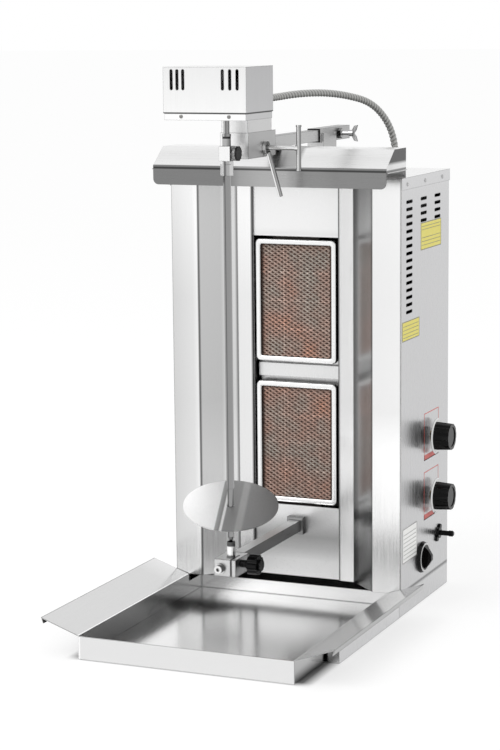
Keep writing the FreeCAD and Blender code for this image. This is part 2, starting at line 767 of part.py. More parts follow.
# Thumbscrew of the socket, with a fluted head
thumb_head = rod(V(socket_half + 4.0, skewer_y, thumb_z), RIGHT, 11.0, 7.0)
for i in range(12):
    a = math.radians(30 * i)
    flute = rod(V(socket_half + 3.0, skewer_y + 11.8 * math.cos(a), thumb_z + 11.8 * math.sin(a)), RIGHT, 1.8, 9.0)
    thumb_head = thumb_head.cut(flute)
thumb_start = skewer_side * 0.72 + 0.4
thumb_screw = join([
    rod(V(thumb_start, skewer_y, thumb_z), RIGHT, thumb_radius, socket_half + 6.0 - thumb_start),
    thumb_head,
])
keep("thumb_screw", thumb_screw)

# Skewer: square bar above, turned pin with a pointed end below
half_side = skewer_side / 2
bar = box(-half_side, half_side, skewer_y - half_side, skewer_y + half_side, square_end, skewer_top)
bar = turned(bar, axis_foot, UP, skewer_turn)
taper = Part.makeCone(0.8, pin_radius, pin_taper, V(0, skewer_y, pin_tip), UP)
pin = rod(V(0, skewer_y, pin_tip + pin_taper), UP, pin_radius, square_end - pin_tip - pin_taper)
stop_drop = stop_radius * math.tan(math.radians(disc_tilt)) + disc_sheet / 2 / math.cos(math.radians(disc_tilt))
stop_top = disc_z - stop_drop
stop = rod(V(0, skewer_y, stop_top - stop_height), UP, stop_radius, stop_height)
keep("skewer", join([bar, pin, taper, stop]))

# Meat disc, loose on the skewer and leaning on the skewer's stop collar
disc_centre = V(0, skewer_y, disc_z)
disc_hole = pin_radius + 1.3
disc = tube(disc_centre - UP * (disc_sheet / 2), UP, disc_radius, disc_hole, disc_sheet)
lean_axis = V(math.cos(math.radians(disc_heading)), math.sin(math.radians(disc_heading)), 0)
disc = turned(disc, disc_centre, lean_axis, disc_tilt)
keep("meat_disc", disc)

# Lower support: arm, split clamp block and the cup that the skewer turns in
keep("lower_arm", square_tube(-block_rear, lower_arm_rear, lower_arm_z))
block = box(block_left, block_right, -block_front, -block_rear, block_bottom, block_top)
block = block.cut(rod(V(0, skewer_y, block_bottom + 6.0), UP, cup_radius, 40))
block = block.cut(box(cup_radius + 0.8, cup_radius + 2.6, -block_front - 1, skewer_y + 14, block_bottom - 1, block_top + 1))
clamp_knob_z = 124.0
block = block.cut(rod(V(cup_radius + 2.6, skewer_y, clamp_knob_z), RIGHT, 4.0 + running_gap, 20))
keep("lower_block", block)
cup = rod(V(0, skewer_y, block_bottom + 6.0), UP, cup_radius, cup_top - block_bottom - 6.0)
cup = cup.cut(Part.makeCone(0.8, 5.4, cup_top - pin_tip + 0.6, V(0, skewer_y, pin_tip - 0.6), UP))
keep("pivot_cup", cup)
cap_x = block_left / 2
cap_z = (block_bottom + block_top) / 2 - 1.5
cap_washer = tube(V(cap_x, -block_front - 1.6, cap_z), BACK, 8.6, 4.0, 1.6)
cap_head = rod(V(cap_x, -block_front - 8.6, cap_z), BACK, 6.5, 7.0)
cap_head = cap_head.cut(hexagon(V(cap_x, -block_front - 9.6, cap_z), BACK, 5.0, 5.0))
cap_shank = rod(V(cap_x, -block_front - 1.6, cap_z), BACK, 4.0, 1.6)
keep("block_screw", cap_washer, join([cap_head, cap_shank]))

# Lower clamp knob: lobed grip on a stem that presses the split block
grip_start = block_right + 15.0
grip = rod(V(grip_start, skewer_y, clamp_knob_z), RIGHT, 15.5, 16.0)
for i in range(7):
    a = 2 * math.pi * i / 7
    dent = rod(V(grip_start - 1, skewer_y + 18.0 * math.cos(a), clamp_knob_z + 18.0 * math.sin(a)), RIGHT, 4.6, 19)
    grip = grip.cut(dent)
clamp_knob = join([
    rod(V(cup_radius + 3.2, skewer_y, clamp_knob_z), RIGHT, 4.0, grip_start - cup_radius),
    rod(V(block_right + body_gap, skewer_y, clamp_knob_z), RIGHT, 6.0, 9.0),
    grip,
    rod(V(grip_start + 16.0, skewer_y, clamp_knob_z), RIGHT, 9.0, 4.0),
])
keep("clamp_knob", clamp_knob)


tap_depth = 59.0


def gas_tap(name, z):
    # Tap body behind the panel, its plug, and the stem with the knob
    face = cabinet_half_width
    tap_start = face - tap_depth
    tap_neck = 19.0
    tap = join([
        rod(V(tap_start, knob_y, z), RIGHT, 13.0, tap_depth - tap_neck),
        rod(V(face - tap_neck, knob_y, z), RIGHT, tap_hole - 0.2, tap_neck),
        box(tap_start + 4, tap_start + 26, knob_y - 15, knob_y + 15, z - 15, z + 15),
    ])
    plug_radius = 7.0
    tap = tap.cut(rod(V(tap_start + 12, knob_y, z), RIGHT, plug_radius + running_gap, tap_depth))
    stem_bore = 3.5
    plug = rod(V(tap_start + 12.4, knob_y, z), RIGHT, plug_radius, 34.0)
    plug = plug.cut(rod(V(tap_start + 22, knob_y, z), RIGHT, stem_bore + running_gap, 40.0))
    keep(name + "_tap_plug", plug)
    stem_start = tap_start + 22.0 + tap_travel + 0.4
    stem = rod(V(stem_start, knob_y, z), RIGHT, stem_bore, face + 26.0 - stem_start)
    grip_x = face + knob_standoff + knob_skirt
    grip_length = face + knob_reach - grip_x
    grip = Part.makeCone(knob_radius, knob_radius - 1.6, grip_length, V(grip_x, knob_y, z), RIGHT)
    for i in range(knob_flutes):
        a = 2 * math.pi * (i + 0.5) / knob_flutes
        reach = knob_radius + 3.4
        dent = rod(V(grip_x - 1, knob_y + reach * math.cos(a), z + reach * math.sin(a)), RIGHT, 5.8, grip_length + 2)
        grip = grip.cut(dent)
    grip = grip.cut(rod(V(face + knob_reach - 1.2, knob_y, z), RIGHT, knob_radius - 7.0, 3.0))
    hub_radius = 15.0
    hub = rod(V(face + knob_standoff - 3.0, knob_y, z), RIGHT, hub_radius, knob_skirt + 3.0)
    knob = join([grip, hub]).cut(rod(V(face, knob_y, z), RIGHT, stem_bore, 26.0))
    skirt = Part.makeCone(
        knob_skirt_radius, knob_skirt_radius - 2.5, knob_skirt, V(face + knob_standoff, knob_y, z), RIGHT)
    skirt = skirt.cut(rod(V(face, knob_y, z), RIGHT, hub_radius, 40.0))
    keep(name + "_knob", knob)
    keep(name + "_tap_stem", stem, skirt)
    return tap


upper_tap = gas_tap("upper", upper_knob_z)
lower_tap = gas_tap("lower", lower_knob_z)
keep("gas_taps", upper_tap, lower_tap)

# Manifold pipe, gas inlet and the two feed pipes to the injectors
manifold_y = 192.0
manifold_x = inlet_x
manifold = join([
    rod(V(manifold_x, manifold_y, inlet_z - 12.0), UP, 8.0, upper_knob_z + 24.0 - inlet_z),
    rod(V(manifold_x, knob_y + 12.0, upper_knob_z), BACK, 6.0, manifold_y - knob_y - 12.0),
    rod(V(manifold_x, knob_y + 12.0, lower_knob_z), BACK, 6.0, manifold_y - knob_y - 12.0),
    rod(V(manifold_x, manifold_y, inlet_z), BACK, 7.0, cabinet_depth - sheet - manifold_y - 8.0),
])
tap_side = knob_y + 15.0
for z in (upper_knob_z, lower_knob_z):
    manifold = manifold.cut(box(manifold_x - 30, manifold_x + 30, knob_y - 20, tap_side, z - 20, z + 20))
keep("gas_manifold", manifold)
inlet_radius = 10.48
inlet_length = 16.0
inlet_start = cabinet_depth - sheet - 8.0
gas_inlet = join([
    rod(V(inlet_x, inlet_start, inlet_z), BACK, inlet_radius, cabinet_depth + 3.0 + inlet_length - inlet_start),
    hexagon(V(inlet_x, inlet_start, inlet_z), BACK, 27.0, 8.0),
    hexagon(V(inlet_x, cabinet_depth, inlet_z), BACK, 27.0, 4.0),
])
gas_inlet = gas_inlet.cut(rod(V(inlet_x, inlet_start + 4.0, inlet_z), BACK, 6.5, 60))
keep("gas_inlet", gas_inlet)


def bent_pipe(points, radius, bend):
    # Round pipe along straight runs joined by arcs of one bend radius
    pieces = []
    start = points[0]
    for i in range(1, len(points) - 1):
        here = points[i]
        back_dir = (points[i - 1] - here).normalize()
        next_dir = (points[i + 1] - here).normalize()
        half = back_dir.getAngle(next_dir) / 2
        cut = bend / math.tan(half)
        a = here + back_dir * cut
        b = here + next_dir * cut
        centre = here + (back_dir + next_dir).normalize() * (bend / math.sin(half))
        middle = centre + (here - centre).normalize() * bend
        pieces.append(Part.LineSegment(start, a).toShape())
        pieces.append(Part.Arc(a, middle, b).toShape())
        start = b
    pieces.append(Part.LineSegment(start, points[-1]).toShape())
    spine = Part.Wire(pieces)
    direction = (points[1] - points[0]).normalize()
    ring = Part.Wire([Part.makeCircle(radius, points[0], direction)])
    return Part.Wire(spine).makePipeShell([ring], True, False)


injector_x = 96.0
injector_half = 4.0
feed_x = cabinet_half_width - tap_depth + 14.0
feed_radius = 3.0
feed_bend = 9.0
tap_top = 15.0
injectors = []
for z in (upper_mixer_z, lower_mixer_z):
    holder = hexagon(V(injector_x, mixer_y, z), RIGHT, 14.0, 12.0)
    nozzle = Part.makeCone(2.5, 5.0, 5.0, V(injector_x - 5.0, mixer_y, z), RIGHT)
    strap = box(injector_x + 2, injector_x + 8, panel_y + 9.0, mixer_y, z - injector_half, z + injector_half)
    foot = box(recess_inner + sheet, injector_x + 8, panel_y + 6.0, panel_y + 9.0, z - injector_half, z + injector_half)
    injectors.append(join([holder, nozzle, strap, foot]))
keep("injectors", *injectors)
feed_end = injector_x + 12.0
upper_feed = bent_pipe([
    V(feed_x, knob_y, upper_knob_z + tap_top),
    V(feed_x, knob_y, upper_mixer_z),
    V(feed_x, mixer_y, upper_mixer_z),
    V(feed_end, mixer_y, upper_mixer_z),
], feed_radius, feed_bend)
loop_z = lower_knob_z + 44.0
loop_x = feed_x - 24.0
lower_feed = bent_pipe([
    V(feed_x, knob_y, lower_knob_z + tap_top),
    V(feed_x, knob_y, loop_z),
    V(loop_x, mixer_y, loop_z),
    V(loop_x, mixer_y, lower_mixer_z),
    V(feed_end, mixer_y, lower_mixer_z),
], feed_radius, feed_bend)
keep("feed_pipes", upper_feed, lower_feed)

# Motor switch: body and bezel on the panel, and the dial with its bar
switch_start = cabinet_half_width - 39.0
switch_body = box(switch_start, inner_skirt, switch_y - 19, switch_y + 19, switch_z - 19, switch_z + 19)
bezel = Part.makeCone(switch_radius, switch_radius - 2.0, 5.6, V(cabinet_half_width, switch_y, switch_z), RIGHT)
neck_ring = rod(V(cabinet_half_width - sheet, switch_y, switch_z), RIGHT, switch_hole - 0.1, sheet)
switch_base = join([switch_body, neck_ring, bezel])
dial_radius = 20.0
switch_base = switch_base.cut(rod(V(cabinet_half_width + 2.4, switch_y, switch_z), RIGHT, dial_radius + 0.3, 10))
switch_base = switch_base.cut(rod(V(cabinet_half_width - 12, switch_y, switch_z), RIGHT, 3.0 + running_gap, 30))
keep("switch_body", switch_base)
dial = join([
    rod(V(cabinet_half_width + 2.8, switch_y, switch_z), RIGHT, dial_radius, 2.8),
    rod(V(cabinet_half_width - 11.6, switch_y, switch_z), RIGHT, 3.0, 14.6),
])
dial_bar = prism_y([
    (cabinet_half_width + 5.4, switch_z - 18.6),
    (cabinet_half_width + 12.0, switch_z - 13.0),
    (cabinet_half_width + 17.5, switch_z - 4.0),
    (cabinet_half_width + 17.5, switch_z + 4.0),
    (cabinet_half_width + 12.0, switch_z + 13.0),
    (cabinet_half_width + 5.4, switch_z + 18.6),
], switch_y - 4.0, switch_y + 4.0)
keep("switch_dial", join([dial, dial_bar]))

# Push-button igniter: body, two-eared plate and a plunger with a rounded end
igniter_body = join([
    rod(V(inner_skirt - 27.8, igniter_y, igniter_z), RIGHT, 9.5, 27.8),
    rod(V(inner_skirt - 5.8, igniter_y, igniter_z), RIGHT, igniter_hole - 0.1, 5.8 + sheet),
])
plunger_radius = 4.3
igniter_floor = inner_skirt - 19.8
igniter_bore = rod(V(igniter_floor, igniter_y, igniter_z), RIGHT, plunger_radius + running_gap, 60)
ear = 11.5
ear_axis = V(0, math.sin(math.radians(40)), math.cos(math.radians(40)))
plate_pieces = [rod(V(cabinet_half_width, igniter_y, igniter_z), RIGHT, 9.0, 4.4)]
for side in (-1, 1):
    centre = V(cabinet_half_width, igniter_y, igniter_z) + ear_axis * (side * ear)
    plate_pieces.append(Part.makeCone(5.0, 4.2, 3.4, centre, RIGHT))
web = box(cabinet_half_width, cabinet_half_width + 3.0, igniter_y - 5.0, igniter_y + 5.0,
          igniter_z - ear, igniter_z + ear)
plate_pieces.append(turned(web, V(0, igniter_y, igniter_z), RIGHT, -40))
keep("igniter_body", join([igniter_body] + plate_pieces).cut(igniter_bore))
plunger_start = igniter_floor + igniter_travel + 0.4
plunger_end = cabinet_half_width + 28.0
plunger = join([
    rod(V(plunger_start, igniter_y, igniter_z), RIGHT, plunger_radius, plunger_end - 3.0 - plunger_start),
    rod(V(plunger_end - 8.0, igniter_y, igniter_z), RIGHT, plunger_radius + 0.7, 6.0),
    Part.makeCone(plunger_radius + 0.7, plunger_radius - 1.4, 2.0, V(plunger_end - 2.0, igniter_y, igniter_z), RIGHT),
])
keep("igniter_button", plunger)


def rounded_route(points):
    # Straight runs joined by tangent arcs, each as large as its two runs allow
    edges = []
    start = points[0]
    for i in range(1, len(points) - 1):
        here = points[i]
        before = points[i - 1] - here
        after = points[i + 1] - here
        shorter = min(before.Length, after.Length)
        turn = math.pi - before.getAngle(after)
        cut = 0.45 * shorter
        radius = cut / math.tan(turn / 2)
        print("conduit bend", i, "radius", round(radius, 1))
        a = here + before.normalize() * cut
        b = here + after.normalize() * cut
        middle_dir = (before + after).normalize()
        centre = here + middle_dir * (radius / math.cos(turn / 2))
        middle = centre - middle_dir * radius
        edges.append(Part.LineSegment(start, a).toShape())
        edges.append(Part.Arc(a, middle, b).toShape())
        start = b
    edges.append(Part.LineSegment(start, points[-1]).toShape())
    return Part.Wire(edges)


def point_on(wire_path, distance):
    # Point and direction at a distance along a wire of lines and arcs
    left = distance
    for edge in wire_path.Edges:
        if left <= edge.Length or edge.isSame(wire_path.Edges[-1]):
            at = edge.getParameterByLength(min(left, edge.Length))
            return edge.valueAt(at), edge.tangentAt(at)
        left -= edge.Length


def loft_ring(place, direction, radius):
    # Circle square to the route, on a steady X axis so that the rings line up
    across = RIGHT - direction * RIGHT.dot(direction)
    across.normalize()
    circle = Part.Circle(place, direction, radius)
    circle.XAxis = across
    return Part.Wire([circle.toShape()])


route = rounded_route(conduit_route)
route_length = route.Length
plain_end = 2 * conduit_radius
pitch = (route_length - 2 * plain_end) / conduit_ribs
stations = [(0.0, conduit_radius)]
for i in range(conduit_ribs):
    s = plain_end + i * pitch
    stations.append((s, conduit_radius))
    stations.append((s + 0.22 * pitch, conduit_radius - conduit_groove))
    stations.append((s + 0.45 * pitch, conduit_radius - conduit_groove))
    stations.append((s + 0.67 * pitch, conduit_radius))
stations.append((route_length, conduit_radius))
outer_rings = []
for s, radius in stations:
    place, direction = point_on(route, s)
    outer_rings.append(loft_ring(place, direction, radius))
inner_rings = []
for i in range(bore_rings):
    place, direction = point_on(route, route_length * i / (bore_rings - 1))
    inner_rings.append(loft_ring(place, direction, conduit_bore))
outer_form = Part.makeLoft(outer_rings, True, True)
inner_form = Part.makeLoft(inner_rings, True, True)
conduit = outer_form.cut(inner_form)
print("conduit length", round(route_length, 1), "valid", conduit.isValid())
plain_volume = math.pi * (conduit_radius ** 2 - conduit_bore ** 2) * route_length
print("conduit volume", round(conduit.Volume), "plain tube", round(plain_volume))
keep("conduit", conduit)

# Glands at both ends of the conduit
head_gland = join([
    hexagon(V(exit_point.x, -head_rear, exit_point.z), BACK, 18.0, 5.0),
    rod(V(exit_point.x, -head_rear, exit_point.z), BACK, 7.8, gland_length),
    rod(V(exit_point.x, -head_rear - sheet, exit_point.z), BACK, 6.0, sheet),
]).cut(rod(V(exit_point.x, -head_rear - 5, exit_point.z), BACK, conduit_bore, 30))
keep("head_gland", head_gland)
top_gland = join([
    hexagon(V(landing.x, landing.y, cabinet_top), UP, 18.0, 5.0),
    rod(V(landing.x, landing.y, cabinet_top), UP, 7.8, gland_length),
    rod(V(landing.x, landing.y, cabinet_top - sheet), UP, 6.0, sheet),
]).cut(rod(V(landing.x, landing.y, cabinet_top - 5), UP, conduit_bore, 30))
keep("top_gland", top_gland)

# Cabinet screws, all of one kind
case_screws = []
for side in (-1, 1):
    for i in range(3):
        y = 27.0 + i * (cabinet_depth - 65.0) / 2
        case_screws.append(pan_head(
            V(side * cover_outer, y, cabinet_top - 10.5), RIGHT * side, screw_radius, screw_height))
    for i in range(4):
        z = base_height + 23.0 + i * (cabinet_top - base_height - 122.0) / 3
        case_screws.append(pan_head(V(side * (inner_skirt - 11.8), cabinet_depth, z), BACK, screw_radius, screw_height))
    for y in (stand_front + 12.0, stand_rear - 12.0):
        case_screws.append(pan_head(
            V(side * (sleeve_half + 13.0), y, cabinet_top + stand_plate), UP, screw_radius, screw_height))
keep("case_screws", *case_screws)
head_screws = []
for side in (-1, 1):
    head_screws.append(pan_head(
        V(side * 38.0, -head_front + pan_inset, head_bottom - 4.6), -BACK, 2.8, 1.2))
keep("head_screws", *head_screws)

for name, shapes in nodes.items():
    for shape in shapes:
        shape.translate(V(0, origin_shift, 0))
    whole = shapes[0] if len(shapes) == 1 else Part.makeCompound(shapes)
    whole.exportStep("parts/" + name + ".step")
    solids = sum(len(shape.Solids) for shape in shapes)
    print(name, "solids", solids, "volume", round(whole.Volume), "valid", whole.isValid())
print("nodes", len(nodes))
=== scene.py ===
# %% [markdown]
# # A gas grill with an upright skewer, dressed for a studio picture
# The real object is a countertop grill: a stainless-steel cabinet with two gas burners, an upright
# skewer that a motor turns in front of them, and a drip tray. Its parts come in from the packed
# construction model, already in place. This lesson gives each of them a finish, and adds the pieces
# that are too thin or too fine for the construction: labels, the burners' rims and grilles, the ribbed
# hose, the switch's ring and the sheets behind the vents.

# %% Load the construction model
import bpy
import bmesh
import math
from mathutils import Matrix, Vector


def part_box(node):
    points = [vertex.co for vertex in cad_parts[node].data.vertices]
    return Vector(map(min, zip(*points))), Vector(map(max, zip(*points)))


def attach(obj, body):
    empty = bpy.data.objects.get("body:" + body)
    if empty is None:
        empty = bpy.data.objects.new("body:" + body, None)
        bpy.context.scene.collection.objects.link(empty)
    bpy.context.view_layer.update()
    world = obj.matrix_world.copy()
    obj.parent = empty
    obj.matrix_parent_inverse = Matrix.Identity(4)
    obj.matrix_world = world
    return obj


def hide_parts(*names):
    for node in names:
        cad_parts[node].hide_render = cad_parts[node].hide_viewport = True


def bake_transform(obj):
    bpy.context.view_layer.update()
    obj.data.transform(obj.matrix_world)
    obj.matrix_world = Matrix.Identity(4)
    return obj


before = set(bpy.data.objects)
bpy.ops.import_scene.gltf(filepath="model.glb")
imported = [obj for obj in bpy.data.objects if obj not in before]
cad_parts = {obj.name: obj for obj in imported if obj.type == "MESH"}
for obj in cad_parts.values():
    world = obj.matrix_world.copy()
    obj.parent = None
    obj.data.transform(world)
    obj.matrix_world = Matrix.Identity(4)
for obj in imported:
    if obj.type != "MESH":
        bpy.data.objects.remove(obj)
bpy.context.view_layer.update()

# %% [markdown]
# ## Where the construction's zero lies
# The drawing of the cabinet starts at its front face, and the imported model's zero is the middle of the
# whole. The front face is found again from the top cover, whose front edge lies in that face, so that
# every size below can be written as on the drawing, in millimetres.

# %% Millimetres on the drawing to metres in the model
front_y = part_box("top_cover")[0].y


def at(x, y, z):
    return Vector((x / 1000, y / 1000 + front_y, z / 1000))


print("cabinet front at y", round(front_y, 4))

# %% [markdown]
# ## The camera
# The photograph was taken from the right and a little above, from a good three metres away with a long
# lens. The place and the angles come from matching the corners of the cabinet to the photograph.

# %% Camera
yaw, pitch, roll = math.radians(23.29), math.radians(9.30), math.radians(-0.55)
camera_place = at(1308.48, -3180.25, 944.35)
sensor_width = 36.0
lens_in_pixels, picture_height = 2173.21, 750
looking = Vector((-math.sin(yaw) * math.cos(pitch), math.cos(yaw) * math.cos(pitch), -math.sin(pitch)))
level_right = looking.cross(Vector((0, 0, 1))).normalized()
level_up = level_right.cross(looking)
camera_right = math.cos(roll) * level_right + math.sin(roll) * level_up
camera_up = -math.sin(roll) * level_right + math.cos(roll) * level_up
camera_data = bpy.data.cameras.new("camera")
camera_data.sensor_width = sensor_width
camera_data.lens = lens_in_pixels / picture_height * sensor_width
camera_data.clip_end = 200.0
camera = bpy.data.objects.new("camera", camera_data)
bpy.context.scene.collection.objects.link(camera)
turn = Matrix((camera_right, camera_up, -looking)).transposed().to_4x4()
camera.matrix_world = Matrix.Translation(camera_place) @ turn
bpy.context.scene.camera = camera
bpy.context.scene.view_settings.view_transform = "Standard"
print("lens", round(camera_data.lens, 1), "mm")

# %% [markdown]
# ## Helpers for colours and nodes
# Colours are written as the hex values that one reads off a picture, and the shader wants linear light,
# so one function converts them. Another adds a node and sets or links what is given.

# %% Colour and node helpers


def colour(hex_value):
    parts = [int(hex_value[i:i + 2], 16) / 255 for i in (1, 3, 5)]
    linear = [c / 12.92 if c <= 0.04045 else ((c + 0.055) / 1.055) ** 2.4 for c in parts]
    return (*linear, 1.0)


def set_inputs(tree, node, values):
    # _0 is the input with that number, as some nodes have several of one name
    for name, value in values.items():
        socket = node.inputs[int(name[1:]) if name[0] == "_" else name]
        if isinstance(value, bpy.types.NodeSocket):
            tree.links.new(value, socket)
        else:
            socket.default_value = value


def add_node(tree, kind, **values):
    # a name in lower case is a setting of the node, any other name is an input
    node = tree.nodes.new(kind)
    for name in [name for name in values if name[0].islower()]:
        setattr(node, name, values.pop(name))
    set_inputs(tree, node, values)
    return node


def new_material(name):
    # gives the material, its nodes, its shader, and the place of each point on the object
    material = bpy.data.materials.new(name)
    material.use_nodes = True
    tree = material.node_tree
    tree.nodes.clear()
    shader = add_node(tree, "ShaderNodeBsdfPrincipled")
    add_node(tree, "ShaderNodeOutputMaterial", Surface=shader.outputs["BSDF"])
    return material, tree, shader, add_node(tree, "ShaderNodeTexCoord").outputs["Object"]


def any_ray(tree, *kinds):
    # one for a ray of these kinds, nought for any other
    ray = add_node(tree, "ShaderNodeLightPath")
    found = 0.0
    for kind in kinds:
        either = add_node(tree, "ShaderNodeMath", operation="MAXIMUM", _0=found, _1=ray.outputs[kind])
        found = either.outputs[0]
    return found


print("grey 50% is", round(colour("#808080")[0], 3), "in linear light")

# %% [markdown]
# ## Floor, world and lamp
# The grill stands on a white table in white surroundings. A white world seen by the camera and by
# mirrors, and a floor that is nearly white to the camera, give the plain background, while a large soft
# lamp from the upper left leaves a faint shadow under the tray.

# %% World
world = bpy.data.worlds.new("white_room")
bpy.context.scene.world = world
world.use_nodes = True
sky = world.node_tree
sky.nodes.clear()
seen = any_ray(sky, "Is Camera Ray", "Is Glossy Ray", "Is Transmission Ray")
soft_light = add_node(sky, "ShaderNodeBackground", Color=colour("#ffffff"), Strength=0.72)
white = add_node(sky, "ShaderNodeBackground", Color=colour("#ffffff"), Strength=1.0)
mixed = add_node(sky, "ShaderNodeMixShader", _0=seen, _1=soft_light.outputs[0], _2=white.outputs[0])
add_node(sky, "ShaderNodeOutputWorld", Surface=mixed.outputs[0])
print("world ready")

# %% Floor
# in metres: half the floor's width, the ground that the grill covers in x and in y, and its soft edge
reach = 60.0
covered = ((0, -0.19, 0.19), (1, -0.325, 0.295))
soft_edge = 0.01
floor_glow = 0.70
floor_mesh = bpy.data.meshes.new("floor")
corners = [(-reach, -reach, 0), (reach, -reach, 0), (reach, reach, 0), (-reach, reach, 0)]
floor_mesh.from_pydata(corners, [], [(0, 1, 2, 3)])
floor = bpy.data.objects.new("floor", floor_mesh)
# half a millimetre under the base, so that the two never share a plane
floor.location.z = -0.0005
bpy.context.scene.collection.objects.link(floor)
floor_paint, tree, shader, place = new_material("matt_white_table")
set_inputs(tree, shader, {"Base Color": colour("#a8a8a8"), "Roughness": 0.9, "Specular IOR Level": 0.0})
# the floor glows a little, but not where the grill covers it
split = add_node(tree, "ShaderNodeSeparateXYZ", _0=place)
under_grill = 1.0
for axis, low, high in covered:
    away = add_node(tree, "ShaderNodeMath", operation="SUBTRACT", _0=split.outputs[axis],
                    _1=(low + high) / 2)
    away = add_node(tree, "ShaderNodeMath", operation="ABSOLUTE", _0=away.outputs[0])
    inside = add_node(tree, "ShaderNodeMapRange", _0=away.outputs[0], _1=(high - low) / 2 - soft_edge,
                      _2=(high - low) / 2 + soft_edge, _3=1.0, _4=0.0)
    product = add_node(tree, "ShaderNodeMath", operation="MULTIPLY", _0=under_grill, _1=inside.outputs[0])
    under_grill = product.outputs[0]
open_floor = add_node(tree, "ShaderNodeMath", operation="SUBTRACT", _0=1.0, _1=under_grill)
direct = any_ray(tree, "Is Camera Ray", "Is Glossy Ray")
power = add_node(tree, "ShaderNodeMath", operation="MULTIPLY", _0=direct, _1=open_floor.outputs[0])
power = add_node(tree, "ShaderNodeMath", operation="MULTIPLY", _0=power.outputs[0], _1=floor_glow)
glow = add_node(tree, "ShaderNodeEmission", Color=colour("#ffffff"), Strength=power.outputs[0])
both = add_node(tree, "ShaderNodeAddShader", _0=shader.outputs[0], _1=glow.outputs[0])
output = next(n for n in tree.nodes if n.type == "OUTPUT_MATERIAL")
tree.links.new(both.outputs[0], output.inputs["Surface"])
floor_mesh.materials.append(floor_paint)
print("floor", reach * 2, "m wide")

# %% Lamp
lamp_place, lamp_target = Vector((-1.6, -2.2, 3.0)), Vector((0, 0, 0.4))
lamp_data = bpy.data.lights.new("key_lamp", "AREA")
lamp_data.shape = "SQUARE"
lamp_data.size = 2.4
lamp_data.energy = 40.0
lamp = bpy.data.objects.new("key_lamp", lamp_data)
lamp.location = lamp_place
lamp.rotation_euler = (lamp_target - lamp_place).to_track_quat("-Z", "Y").to_euler()
bpy.context.scene.collection.objects.link(lamp)
print("lamps", len(bpy.data.lights))

# %% [markdown]
# ## Stainless steel
# Most of the grill is stainless sheet, 1.4301 as kitchens use it. It is a metal, so its colour is the
# colour of its reflection. In a studio each direction mirrors another part of the room: white walls in
# front and above, darker ones at the sides and below. So each finish gets a painted reflection and
# painted shade: a tone for every direction that a face can look in, painted into its colour, and a
# rounded piece blends them. Brushing leaves fine parallel scratches that stretch reflections along one
# direction, drawn as a noise that is much finer across the brushing than along it.

# %% Steel by direction
# nearly all values of a noise lie between these two
noise_low, noise_high = 0.3, 0.7
# the axis that each facing looks along, and which way
facings = (("front", 1, -1.0), ("back", 1, 1.0), ("right", 0, 1.0), ("left", 0, -1.0), ("top", 2, 1.0),
           ("under", 2, -1.0))
directions = {"X": (1, 0, 0), "Y": (0, 1, 0), "Z": (0, 0, 1)}


def painted_light_by_facing(tree, tones):
    # painted reflection and painted shade: tones has a colour for front, back, right, left, top and
    # under, where a missing one is as the front; the weights are the squares of the normal
    normal = add_node(tree, "ShaderNodeNewGeometry").outputs["Normal"]
    split = add_node(tree, "ShaderNodeSeparateXYZ", _0=normal)
    total = (0.0, 0.0, 0.0)
    for name, axis, sign in facings:
        part = add_node(tree, "ShaderNodeMath", operation="MULTIPLY", _0=split.outputs[axis], _1=sign)
        part = add_node(tree, "ShaderNodeMath", operation="MAXIMUM", _0=part.outputs[0], _1=0.0)
        part = add_node(tree, "ShaderNodeMath", operation="POWER", _0=part.outputs[0], _1=2.0)
        tone = colour(tones.get(name, tones["front"]))[:3]
        scaled = add_node(tree, "ShaderNodeVectorMath", operation="SCALE", _0=tone, Scale=part.outputs[0])
        total = add_node(tree, "ShaderNodeVectorMath", operation="ADD", _0=total,
                         _1=scaled.outputs[0]).outputs[0]
    return total


def travel(tree, place, axis, middle=(0, 0, 0)):
    # how far each point lies from the point middle of the drawing along one direction, in metres
    away = add_node(tree, "ShaderNodeVectorMath", operation="SUBTRACT", _0=place, _1=at(*middle))
    return add_node(tree, "ShaderNodeVectorMath", operation="DOT_PRODUCT", _0=away.outputs[0],
                    _1=directions.get(axis, axis)).outputs["Value"]


def graded(tree, value, stops, unit=1):
    # the colour that a list of (place, colour) gives for a value; unit is how many of the list's steps
    # make one of the value's: 1000 where the list is in mm and the value in metres
    low, high = stops[0][0], stops[-1][0]
    share = add_node(tree, "ShaderNodeMapRange", _0=value, _1=low / unit, _2=high / unit)
    ramp = add_node(tree, "ShaderNodeValToRGB", Fac=share.outputs[0])
    points = [((where - low) / (high - low), tone) for where, tone in stops]
    elements = ramp.color_ramp.elements
    elements[0].position, elements[0].color = points[0]
    elements[1].position, elements[1].color = points[-1]
    for position, tone in points[1:-1]:
        elements.new(position).color = tone
    return ramp.outputs[0]


def along(tree, place, axis, levels, source, middle=(0, 0, 0)):
    # levels is a list of (mm, factor): multiplies the colour by a factor that changes along a direction
    factors = graded(tree, travel(tree, place, axis, middle),
                     [(mm, (factor, factor, factor, 1.0)) for mm, factor in levels], 1000)
    return add_node(tree, "ShaderNodeVectorMath", operation="MULTIPLY", _0=source, _1=factors).outputs[0]


def between(tree, place, axis, start, full, before, after):
    # goes over from one colour to another between two places along an axis, in mm
    share = add_node(tree, "ShaderNodeMapRange", _0=travel(tree, place, axis), _1=start / 1000,
                     _2=full / 1000)
    mix = add_node(tree, "ShaderNodeMix", data_type="RGBA", _0=share.outputs[0], _6=before, _7=after)
    return mix.outputs[2]


